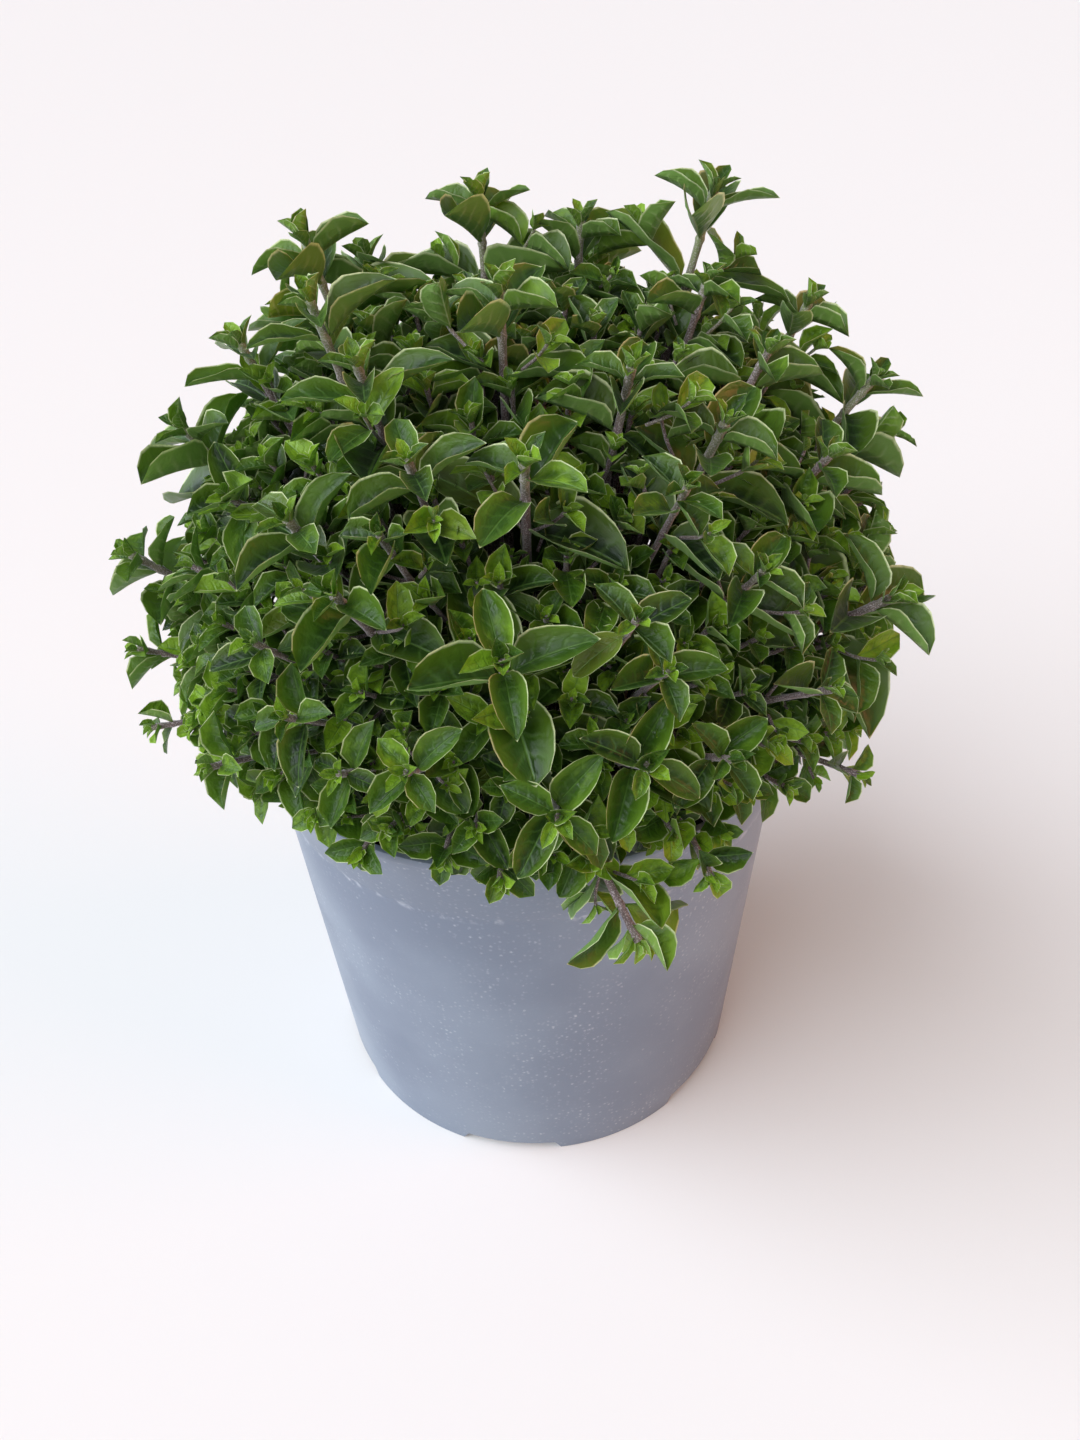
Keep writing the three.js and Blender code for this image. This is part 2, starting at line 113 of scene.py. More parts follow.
# elevation, count, distance, largest leaf
backRows = [(8, 5, 124, 16), (27, 5, 126, 20), (45, 4, 130, 21), (62, 2, 134, 22)]
backFrom, backTo, backTurn = 112, 258, 25
# side shoots that fill the wide gaps between the main shoots
sideShoots = {
    "spots": 180,
    "lowest": 0.16,
    "reach": 108,
    "rise": 18,
    "room": 20,
    "leaf": 19,
    "pairs": (1, 3),
    "thickness": 1.8,
    "steps": 3,
    "shortest": 24,
    "longest": 74,
    "sharpest": 60,
    "places": (0.3, 0.4, 0.5, 0.6),
}
goldenAngle = 137.508
# distance below the tip in leaf lengths, size, angle from the stem
leafPairs = [(0.05, 0.36, 20), (0.18, 0.62, 36), (0.48, 0.86, 52), (1.0, 1, 64), (1.8, 0.98, 74)]
# fold along the rib and curl towards the tip
leafShapes = [
    (0.42, 0.1), (0.6, 0.2), (0.78, 0.06), (0.7, 0.26),
    (1.0, 0.12), (0.5, 0.32), (0.34, 0.24), (0.88, 0.02),
]
# where a blade is kept clear of others: shares along and across it
clearPlaces = [
    (0.34, -0.5), (0.34, 0.5), (0.56, -0.5), (0.56, 0.5), (0.78, -0.38), (0.78, 0.38), (0.95, 0),
]
# first seed and step of each kind of growth
seeds = {
    "mainStem": (9001, 37),
    "mainLeaves": (401, 53),
    "sideShoot": (6301, 71),
    "finerMain": (7001, 29),
    "finerSide": (7901, 23),
    "filler": (52001, 61),
    "sprigs": (8101, 31),
    "shootPiece": (3001, 17),
    "innerPiece": (881, 1),
    "crumbs": (6007, 0),
}
up = np.array([0.0, 0.0, 1.0])
mound = np.array(growth["mound"])


def randomFor(kind, index=0):
    first, step = seeds[kind]
    state = first + step * index

    def draw():
        nonlocal state
        state = (state * 16807) % 2147483647
        return state / 2147483647

    return draw


def unit(vector):
    return vector / np.sqrt(vector @ vector)


def lengthOf(vectors):
    return np.sqrt((vectors ** 2).sum(-1))


def spanAt(span, share):
    return span[0] + (span[1] - span[0]) * share


def direction(azimuth, elevation):
    a, e = math.radians(azimuth), math.radians(elevation)
    return np.array([math.sin(a) * math.cos(e), -math.cos(a) * math.cos(e), math.sin(e)])


def wallRadius(height):
    form = potForm
    if height < form["collarHeight"]:
        flare = form["collarRadius"] - form["baseRadius"]
        return form["baseRadius"] + flare * height / form["collarHeight"]
    rise = (height - form["collarHeight"]) / (form["height"] - form["collarHeight"])
    return form["collarRadius"] + (form["rimRadius"] - form["lipDepth"] - form["collarRadius"]) * rise


def listShoots():
    shoots = list(frontShoots)
    for row, (elevation, count, distance, leaf) in enumerate(backRows):
        for i in range(count):
            share = (i + 0.35 + 0.3 * (row % 2)) / count
            azimuth = backFrom + (backTo - backFrom) * share
            shoots.append((azimuth, elevation + 4 * (i % 2), distance, leaf, backTurn * i))
    return shoots


def bezierPoint(curve, t):
    t = np.asarray(t, float)[..., None]
    a, b, c, d = curve
    k = 1 - t
    return k * k * k * a + 3 * k * k * t * b + 3 * k * t * t * c + t * t * t * d


def spacedPoints(curve, steps):
    ts = np.linspace(0, 1, 201)
    points = bezierPoint(curve, ts)
    lengths = np.concatenate([[0], np.cumsum(lengthOf(points[1:] - points[:-1]))])
    wanted = np.linspace(0, 1, steps + 1) * lengths[-1]
    return bezierPoint(curve, np.interp(wanted, lengths, ts)), lengths[-1]


def makeCurve(foot, tip, azimuth, elevation, sway):
    # A stem rises from its foot, arches where it lies low, and hangs where its tip is below level.
    reach = lengthOf(tip - foot)
    if elevation < 0:
        pitch = elevation - growth["hang"]
    else:
        pitch = elevation + (90 - elevation) * growth["pitchShare"]
    lean = direction(azimuth + 0.4 * sway[0], pitch)
    rise = foot + up * max(growth["riseShare"] * reach, growth["riseLeast"])
    rise[:2] += growth["swayShare"] * sway
    bend = tip - lean * growth["bendShare"] * reach
    bend[0] += growth["swayShare"] * sway[1]
    bend[2] += max(0, growth["archBelow"] - elevation) * growth["archShare"]
    return foot, rise, bend, tip


footSearch = {"tries": 400, "turn": 1.7, "shrink": 0.0022, "edge": 4}


def nearestFoot(feet, azimuth, elevation, form, spacing):
    # steep shoots start in the middle of the soil, flat ones near its edge
    inner, spread, over = form["feet"]
    radius = inner + spread * min(1, (90 - elevation) / over)
    for tries in range(footSearch["tries"]):
        turn = azimuth + (1 if tries % 2 else -1) * tries * footSearch["turn"]
        out = min(radius * (1 - footSearch["shrink"] * tries), soilForm["rootRadius"] - footSearch["edge"])
        foot = direction(turn, 0) * out
        foot[2] = soilForm["middle"] - growth["stemDepth"]
        if all(lengthOf(other - foot) > spacing for other in feet):
            break
    feet.append(foot)
    return foot


def alongStem(stem, below):
    steps = len(stem["points"]) - 1
    place = max(0, 1 - below / stem["length"]) * steps
    step = min(math.floor(place), steps - 1)
    start, end = stem["points"][step], stem["points"][step + 1]
    return start + (end - start) * (place - step), unit(end - start)


# Spots are discs or balls: middle, normal (zero for a ball), radius and half thickness.
def stemSpots(stem):
    count = math.ceil(stem["length"] / 2.5)
    middles = np.array([alongStem(stem, stem["length"] * i / count)[0] for i in range(count + 1)])
    return {
        "at": middles,
        "normal": np.zeros_like(middles),
        "radius": np.full(count + 1, 0.72 * stem["side"] + 0.3),
        "half": np.zeros(count + 1),
    }


def reachAlong(radius, half, lean):
    lean = np.abs(lean)
    return radius * np.sqrt(np.maximum(0, 1 - lean * lean)) + half * lean


def apart(one, other, gap):
    between = other["at"][None] - one["at"][:, None]
    distance = lengthOf(between)
    r1, r2 = one["radius"][:, None], other["radius"][None]
    h1, h2 = one["half"][:, None], other["half"][None]
    n1, n2 = one["normal"][:, None], other["normal"][None]
    far = distance > r1 + r2 + gap
    for axis in (between / np.maximum(distance, 1e-6)[..., None], n1 + 0 * between, n2 + 0 * between):
        needed = reachAlong(r1, h1, (n1 * axis).sum(-1)) + reachAlong(r2, h2, (n2 * axis).sum(-1)) + gap
        far |= np.abs((between * axis).sum(-1)) > needed
    return bool(far.all())


def clearOfPot(spots, gap):
    for at, normal, radius, half in zip(spots["at"], spots["normal"], spots["radius"], spots["half"]):
        distance, height = math.hypot(at[0], at[1]), at[2]
        if height < soilForm["middle"] + radius + gap and distance < potForm["collarRadius"]:
            if normal.any() or distance >= soilForm["rootRadius"]:
                return False
            continue
        if height > potForm["height"] + radius + gap:
            continue
        wall = wallRadius(max(0, height))
        outward = np.array([at[0], at[1], 0]) / max(distance, 1e-9)
        reach = reachAlong(radius, half, normal @ outward)
        if distance - reach > wall + potForm["lipDepth"] + gap:
            continue
        if distance + radius < wall - potForm["wall"] - gap:
            continue
        return False
    return True


# side of the square stem, sway and number of tries, points along it, and where its foot stands
stemForms = {
    "main": {"side": 2, "swing": 12, "tries": 40, "steps": 3, "feet": (16, 58, 82)},
    "thick": {"side": 2.6, "swing": 12, "tries": 40, "steps": 3, "feet": (16, 58, 82)},
    "filler": {"side": 1.5, "swing": 14, "tries": 16, "steps": 9, "feet": (12, 60, 90)},
}
# what has grown so far: leaves, and balls along the stems
crowd = {
    "middles": np.zeros((8000, 3)),
    "lengths": np.zeros(8000),
    "leaves": [],
    "balls": np.zeros((40000, 3)),
    "ballRadii": np.zeros(40000),
    "ballOwners": np.zeros(40000, int),
    "ballCount": 0,
    "owners": 0,
}


def bareStem(curve, side, leaf, turn, steps):
    stem = {"side": side, "leaf": leaf, "turn": turn, "leaves": [], "sprigs": [], "sideShoots": []}
    stem["points"], stem["length"] = spacedPoints(curve, steps)
    stem["spots"] = stemSpots(stem)
    return stem


def makeStem(foot, tip, azimuth, elevation, leaf, turn, random, form, gap):
    # sways more at each try, until the stem is clear of the pot and of the others
    for attempt in range(form["tries"]):
        sway = np.array([random() - 0.5, random() - 0.5]) * (form["swing"] + 3 * attempt)
        curve = makeCurve(foot, tip, azimuth, elevation, sway)
        stem = bareStem(curve, form["side"], leaf, turn, form["steps"])
        if clearOfPot(stem["spots"], gap) and clearOfStems(stem["spots"], None, gap):
            return stem, True
    return stem, False


def addStem(stem):
    crowd["owners"] += 1
    stem["owner"] = crowd["owners"]
    start, count = crowd["ballCount"], len(stem["spots"]["at"])
    crowd["balls"][start:start + count] = stem["spots"]["at"]
    crowd["ballRadii"][start:start + count] = stem["spots"]["radius"]
    crowd["ballOwners"][start:start + count] = stem["owner"]
    crowd["ballCount"] = start + count


def clearOfStems(spots, owner, gap):
    low, high = spots["at"].min(0) - 8, spots["at"].max(0) + 8
    balls = crowd["balls"][:crowd["ballCount"]]
    near = ((balls > low) & (balls < high)).all(1) & (crowd["ballOwners"][:len(balls)] != owner)
    if not near.any():
        return True
    count = int(near.sum())
    others = {
        "at": balls[near],
        "normal": np.zeros((count, 3)),
        "radius": crowd["ballRadii"][:len(balls)][near],
        "half": np.zeros(count),
    }
    return apart(spots, others, gap)


def growMainStems():
    stems, feet = [], []
    for index, (azimuth, elevation, distance, leaf, turn) in enumerate(listShoots()):
        random = randomFor("mainStem", index)
        tip = direction(azimuth, elevation) * distance + mound
        form = stemForms["thick" if leaf > growth["thickFrom"] else "main"]
        foot = nearestFoot(feet, azimuth, elevation, form, growth["stemSpacing"])
        stem, _ = makeStem(foot, tip, azimuth, elevation, leaf, turn, random, form, growth["gap"])
        addStem(stem)
        stems.append(stem)
    return stems, feet


def bladePoint(leaf, along, across):
    halfWidth = 0.5 * leaf["length"] * growth["leafWidth"] / math.sqrt(1 + leaf["fold"] * leaf["fold"])
    height = leaf["fold"] * abs(across) * halfWidth - leaf["curl"] * along * along * leaf["length"]
    return (
        leaf["root"]
        + leaf["axis"] * along * leaf["length"] * (1 + growth["petiole"])
        + leaf["side"] * across * halfWidth
        + leaf["normal"] * height
    )


def leafSpots(leaf, half):
    middles, normals = [], []
    for along, across in clearPlaces:
        tilt = np.sign(across) * leaf["fold"]
        middles.append(bladePoint(leaf, along, across))
        normals.append(unit(leaf["normal"] - leaf["side"] * tilt + leaf["axis"] * 2 * leaf["curl"] * along))
    count = len(clearPlaces)
    return {
        "at": np.array(middles),
        "normal": np.array(normals),
        "radius": np.full(count, growth["spotRadius"] * leaf["length"]),
        "half": np.full(count, half),
    }


def turnedFromUp(vector, heading):
    # the least turn that takes the vertical to the heading, done to a level vector
    axis = np.cross(up, heading)
    sine, cosine = np.sqrt(axis @ axis), heading[2]
    if sine < 1e-9:
        return vector
    axis = axis / sine
    return vector * cosine + np.cross(axis, vector) * sine + axis * (axis @ vector) * (1 - cosine)


def makeLeaf(stem, below, length, spread, turn, shape):
    point, heading = alongStem(stem, below)
    level = np.array([math.cos(math.radians(turn)), math.sin(math.radians(turn)), 0])
    outward = turnedFromUp(level, heading)
    cosine, sine = math.cos(math.radians(spread)), math.sin(math.radians(spread))
    axis = heading * cosine + outward * sine
    normal = heading * sine - outward * cosine + up * growth["leafLift"]
    normal = unit(normal - axis * (normal @ axis))
    # a leaf whose upper side would face down and inwards is twisted over on its stalk
    if normal @ (unit(point - mound) + up) < 0:
        normal = -normal
    fold, curl = leafShapes[shape]
    leaf = {
        "root": point + outward * growth["rootOffset"] * stem["side"],
        "axis": axis,
        "normal": normal,
        "side": np.cross(normal, axis),
        "length": length,
        "fold": fold,
        "curl": curl,
        "shape": shape,
        "heading": heading,
        "below": below,
    }
    leaf["middle"] = bladePoint(leaf, 0.6, 0)
    return leaf


def addLeaf(leaf):
    count = len(crowd["leaves"])
    crowd["middles"][count] = leaf["middle"]
    crowd["lengths"][count] = leaf["length"]
    crowd["leaves"].append(leaf)


def clearOfLeaves(spots, leaf, gap):
    count = len(crowd["leaves"])
    away = lengthOf(crowd["middles"][:count] - leaf["middle"])
    near = np.nonzero(away <= 0.62 * (crowd["lengths"][:count] + leaf["length"]))[0]
    if not len(near):
        return True
    others = [crowd["leaves"][i]["spots"] for i in near]
    joined = {key: np.concatenate([other[key] for other in others]) for key in spots}
    return apart(spots, joined, gap)


def placeLeaf(owner, make, half, gap, bends, shrinks):
    for shrink in shrinks:
        for bend in bends:
            leaf = make(bend, shrink)
            leaf["spots"] = leafSpots(leaf, half)
            if (
                clearOfPot(leaf["spots"], gap)
                and clearOfLeaves(leaf["spots"], leaf, gap)
                and clearOfStems(leaf["spots"], owner, gap)
            ):
                return leaf
    return None


def growLeaves(stem, first, last, random):
    for level, (below, size, spread) in enumerate(leafPairs[first:last]):
        for opposite in (0, 180):
            turn = stem["turn"] + 90 * level + opposite + 14 * (random() - 0.5)
            length = stem["leaf"] * size * (0.92 + 0.16 * random())
            shape = math.floor(random() * len(leafShapes))

            def make(bend, shrink):
                place = below * stem["leaf"] + growth["leafFrom"]
                return makeLeaf(stem, place, length * shrink, spread + bend, turn, shape)

            leaf = placeLeaf(
                stem["owner"], make, growth["spotHalf"], growth["gap"], growth["bends"], growth["shrinks"]
            )
            if leaf:
                leaf["level"] = first + level
                stem["leaves"].append(leaf)
                addLeaf(leaf)


def growMainLeaves(stems):
    for index, stem in enumerate(stems):
        pairs = 5 if stem["leaf"] > 22 else 4 if stem["leaf"] > 16 else 3
        growLeaves(stem, 0, pairs, randomFor("mainLeaves", index))


def makeSideShoot(parent, below, tip, outward, turn):
    point, heading = alongStem(parent, below)
    reach = lengthOf(tip - point)
    towards = (tip - point) / reach
    straight = towards @ heading > math.cos(math.radians(sideShoots["sharpest"]))
    if reach < sideShoots["shortest"] or reach > sideShoots["longest"] or not straight:
        return None
    curve = (point, point + (heading + towards) * 0.2 * reach, tip - outward * 0.35 * reach, tip)
    shoot = bareStem(curve, sideShoots["thickness"], sideShoots["leaf"], turn, sideShoots["steps"])
    around = {"middle": (point + tip) / 2, "length": reach}
    clear = (
        clearOfPot(shoot["spots"], growth["gap"])
        and clearOfStems(shoot["spots"], parent["owner"], growth["gap"])
        and clearOfLeaves(shoot["spots"], around, growth["gap"])
    )
    return shoot if clear else None


def nearestSideShoot(stems, tip, outward, turn):
    places = []
    for parent in stems:
        for share in sideShoots["places"]:
            below = share * parent["length"]
            away = alongStem(parent, below)[0] - tip
            places.append((lengthOf(away), len(places), parent, below))
    for _, _, parent, below in sorted(places):
        shoot = makeSideShoot(parent, below, tip, outward, turn)
        if shoot:
            parent["sideShoots"].append(shoot)
            return shoot
    return None


def growSideShoots(stems):
    shoots = []
    for index in range(sideShoots["spots"]):
        rise = 1 - (1 - sideShoots["lowest"]) * (index + 0.5) / sideShoots["spots"]
        outward = direction(index * goldenAngle, math.degrees(math.asin(rise)))
        tip = mound + outward * (sideShoots["reach"] + sideShoots["rise"] * rise)
        away = crowd["middles"][:len(crowd["leaves"])] - tip
        if (away ** 2).sum(1).min() <= sideShoots["room"] ** 2:
            continue
        random = randomFor("sideShoot", index)
        shoot = nearestSideShoot(stems, tip, outward, 90 * random())
        if shoot:
            addStem(shoot)
            growLeaves(shoot, *sideShoots["pairs"], random)
            shoots.append(shoot)
    return shoots


# ---- finer growth, which only the looks have ----

fine = {
    "gap": -0.5,
    "half": 0.2,
    "lowerSpacing": 0.95,
    "lowerShrink": 0.93,
    "lowerEnd": 0.6,
    "lowerSpread": 70,
    "tipFrom": 1.2,
    "sprigPairFrom": 0.8,
    # uneven growth of a pair: degrees, share of the length, degrees
    "turnSpread": 20,
    "leastLength": 0.88,
    "lengthSpread": 0.24,
    "leanSpread": 12,
    "lowerSize": 0.9,
    "lowerLeast": 0.9,
    "lowerUneven": 0.2,
    "sprigRise": 0.16,
    "sprigFirst": 0.4,
    "sprigUpright": 0.5,
    "sprigEnd": 0.3,
    "sprigLeast": 0.7,
    "sprigUneven": 0.6,
    "fillerPairs": 4,
    "reachFocus": 40,
    "sprigShare": 0.8,
    "sprigFrom": 84,
    "sprigLeaf": (0.42, 0.62),
    "sprigReach": 1.5,
    "sprigAngle": (38, 62),
    "sprigSide": 0.9,
    "sprigSteps": 5,
    "shortBends": [0, -16, 16, 30],
    "shortShrinks": [1, 0.76],
    "fillers": 340,
    "fillerReach": (0.64, 0.98),
    "fillerLow": 0.06,
    "fillerLeaf": (10.5, 14.5),
    "fillerRise": 4,
    "fillerFeet": 3.6,
}
# pairs still folded in the tip: distance below the tip, size, angle
tipPairs = [(0.0, 0.27, 20), (-0.04, 0.13, 11)]
sprigPairs = [(0.08, 0.55, 34), (0.5, 1, 52)]


def sprigCurve(start, heading, outward, reach, angle):
    lean = heading * math.cos(angle) + outward * math.sin(angle)
    tip = start + lean * reach + up * fine["sprigRise"] * reach
    end = unit(lean + heading + up * fine["sprigUpright"])
    return start, start + lean * fine["sprigFirst"] * reach, tip - end * fine["sprigEnd"] * reach, tip


def placePair(stem, below, size, spread, level, random, bends, shrinks, tested=True):
    for opposite in (0, 180):
        turn = stem["turn"] + 90 * level + opposite + fine["turnSpread"] * (random() - 0.5)
        length = stem["leaf"] * size * (fine["leastLength"] + fine["lengthSpread"] * random())
        shape = math.floor(random() * len(leafShapes))
        lean = spread + fine["leanSpread"] * (random() - 0.5)

        def make(bend, shrink):
            return makeLeaf(stem, below, length * shrink, lean + bend, turn, shape)

        if tested:
            leaf = placeLeaf(stem["owner"], make, fine["half"], fine["gap"], bends, shrinks)
        else:
            leaf = make(0, 1)
            leaf["spots"] = leafSpots(leaf, fine["half"])
        if leaf:
            leaf["level"] = level
            stem["leaves"].append(leaf)
            if tested:
                addLeaf(leaf)


def growTip(stem, random, pairs):
    for level, (below, size, spread) in enumerate(tipPairs[:pairs]):
        below = below * stem["leaf"] + fine["tipFrom"]
        placePair(stem, below, size, spread, -1 - level, random, [0], [1], tested=False)


def growLower(stem, random):
    last = max((leaf["level"] for leaf in stem["leaves"]), default=0)
    below, size, level = leafPairs[min(last, 4)][0] * stem["leaf"], fine["lowerSize"], last
    while True:
        uneven = fine["lowerLeast"] + fine["lowerUneven"] * random()
        below += fine["lowerSpacing"] * stem["leaf"] * uneven
        size *= fine["lowerShrink"]
        level += 1
        if below > stem["length"] * fine["lowerEnd"]:
            return
        spread = fine["lowerSpread"]
        placePair(stem, below, size, spread, level, random, growth["bends"], growth["shrinks"])


def growSprigs(stem, random, levels):
    nodes = {}
    for leaf in stem["leaves"]:
        if leaf["level"] in levels:
            nodes.setdefault(leaf["level"], []).append(leaf)
    for level in sorted(nodes):
        for leaf in nodes[level]:
            start = leaf["root"]
            chance, turn = random(), 360 * random()
            small = stem["leaf"] * spanAt(fine["sprigLeaf"], random())
            reach = small * fine["sprigReach"] * (fine["sprigLeast"] + fine["sprigUneven"] * random())
            angle = math.radians(spanAt(fine["sprigAngle"], random()))
            depth = lengthOf(start - mound)
            if chance > fine["sprigShare"] or depth < fine["sprigFrom"]:
                continue
            heading = leaf["heading"]
            outward = unit(leaf["axis"] - heading * (leaf["axis"] @ heading))
            curve = sprigCurve(start, heading, outward, reach, angle)
            sprig = bareStem(curve, fine["sprigSide"], small, turn, fine["sprigSteps"])
            sprig["owner"] = stem["owner"]
            if not clearOfPot(sprig["spots"], fine["gap"]):
                continue
            for step, (below, size, spread) in enumerate(sprigPairs):
                below = below * small + fine["sprigPairFrom"]
                bends, shrinks = fine["shortBends"], fine["shortShrinks"]
                placePair(sprig, below, size, spread, step, random, bends, shrinks)
            if sprig["leaves"]:
                growTip(sprig, random, 1)
                stem["sprigs"].append(sprig)


def localReach(heading, tips):
    # how far the main tips stand from the mound's middle around a heading
    away = tips - mound
    lengths = lengthOf(away)
    weights = np.exp(((away / lengths[:, None]) @ heading - 1) * fine["reachFocus"])
    return (weights * lengths).sum() / weights.sum()


def growFillers(feet, tips):
    fillers = []
    for index in range(fine["fillers"]):
        random = randomFor("filler", index)
        azimuth = (index * goldenAngle) % 360 - 180
        elevation = math.degrees(math.asin(1 - (1 - fine["fillerLow"]) * (index + 0.5) / fine["fillers"]))
        share = spanAt(fine["fillerReach"], math.sqrt(random()))
        distance = localReach(direction(azimuth, elevation), tips) * share
        leaf = spanAt(fine["fillerLeaf"], random()) + fine["fillerRise"] * elevation / 90
        tip = direction(azimuth, elevation) * distance + mound
        form = stemForms["filler"]
        foot = nearestFoot(feet, azimuth, elevation, form, fine["fillerFeet"])
        turn = 360 * random()
        stem, clear = makeStem(foot, tip, azimuth, elevation, leaf, turn, random, form, fine["gap"])
        if not clear:
            continue
        addStem(stem)
        for level, (below, size, spread) in enumerate(leafPairs[:fine["fillerPairs"]]):
            below = below * leaf + fine["tipFrom"]
            placePair(stem, below, size, spread, level, random, growth["bends"], growth["shrinks"])
        growTip(stem, random, 2)
        fillers.append(stem)
    return fillers


stems, feet = growMainStems()
growMainLeaves(stems)
branches = growSideShoots(stems)
for leaf in crowd["leaves"]:
    leaf["spots"]["half"][:] = fine["half"]
for index, stem in enumerate(stems):
    random = randomFor("finerMain", index)
    growTip(stem, random, 2)
    growLower(stem, random)
for index, stem in enumerate(branches):
    random = randomFor("finerSide", index)
    below, size, spread = leafPairs[0]
    below = below * stem["leaf"] + growth["leafFrom"]
    placePair(stem, below, size, spread, 0, random, [0], [1], tested=False)
    growTip(stem, random, 2)
    growLower(stem, random)
fillers = growFillers(feet, np.array([stem["points"][-1] for stem in stems]))
shoots = stems + branches + fillers
for index, stem in enumerate(shoots):
    growSprigs(stem, randomFor("sprigs", index), range(3, 12))
leafCount = sum(len(grown["leaves"]) for stem in shoots for grown in (stem, *stem["sprigs"]))
print(f"grown: {len(stems)} stems, {len(branches)} side shoots, {len(fillers)} fillers, {leafCount} leaves")

# ---- materials ----

colours = {
    "leafOld": "#102608",
    "leafFull": "#355611",
    "leafYoung": "#8db429",
    "leafYellow": "#98a838",
    "leafUnder": "#82a854",
    "leafRim": "#ecf2bc",
    "leafVein": "#668c3c",
    "leafGlow": "#9cd02a",
    "leafSheen": "#d8e6e0",
    "stemWood": "#5a4740",
    "stemGrey": "#6b5a59",
    "stemTip": "#84905e",
    "stemHair": "#c9bdc0",
    "potBody": "#7a8594",
    "potShade": "#6d7787",
    # pale dust specks, also used for the painted highlight along the collar
    "potDustAndHighlight": "#c9cdd5",
    "soilDark": "#15110d",
    "soilLight": "#352a20",
    "floor": "#e7e4df",
}


def linear(code):
    parts = [int(code[i:i + 2], 16) / 255 for i in (1, 3, 5)]
    return [p / 12.92 if p <= 0.04045 else ((p + 0.055) / 1.055) ** 2.4 for p in parts] + [1]


paint = {name: linear(code) for name, code in colours.items()}


def addNode(tree, kind, inputs=None, output=0, **settings):
    # makes a node, sets or links its inputs, and returns one of its outputs
    node = tree.nodes.new("ShaderNode" + kind)
    for name, value in settings.items():
        setattr(node, name, value)
    for key, value in (inputs or {}).items():
        if isinstance(value, bpy.types.NodeSocket):
            tree.links.new(value, node.inputs[key])
        else:
            node.inputs[key].default_value = value
    return node.outputs[output] if len(node.outputs) else node


# settings of a soft step, and of a colour mix, whose inputs 6 and 7 are the two colours
smooth = {"interpolation_type": "SMOOTHSTEP"}
blend = {"output": 2, "data_type": "RGBA"}


def ends(values):
    # inputs 1 to 4 of a step: where it starts and ends, and its results there
    return dict(enumerate(values, 1))


def newMaterial(name):
    material = bpy.data.materials.new(name)
    material.use_nodes = True
    material.node_tree.nodes.clear()
    return material, material.node_tree


# UV maps of a leaf: place on the blade, (tone, seed) and (upper side, yellow)
leafLayers = ("leafUv", "leafTone", "leafFace")
leafFinish = {
    "veins": 5.2,
    "veinSweep": 1.15,
    "veinWander": 0.9,
    "veinShow": 0.2,
    "veinDepth": 0.35,
    "ribShow": 0.55,
    "mottle": 0.4,
    "blotches": 3.4,
    "blotchDepth": 2.5,
    "grains": 26,
    "grainDepth": 0.2,
    "glow": 0.25,
    "glowTint": 0.65,
    "sheen": 0.06,
    "bump": 0.4,
    "quilt": 0.0009,
}
# Shares of a blade: across it from the rib (0) to the rim (1), along it from foot to tip.
leafSteps = {
    "rib": (0.08, 0.01, 0, 1),
    "vein": (0.22, 0, 0, 1),
    "veinFade": (0.95, 0.45, 0, 1),
    "sideRim": (0.92, 0.985, 0, 1),
    "tipRim": (0.975, 0.995, 0, 1),
    "blade": (0.08, 0.14, 0, 1),
    "ripe": (0, 0.5, 0, 1),
    "fresh": (0.5, 1, 0, 1),
    "marginAndFoldShade": (0.2, 1, 0, 0.28),
    "greenBelow": (0.35, 0.8, 0.18, 0.6),
    "rimHairsAndGlint": (0.25, 0.6, 0.6, 0.95),
    "rough": (0.35, 0.65, 0.3, 0.5),
}


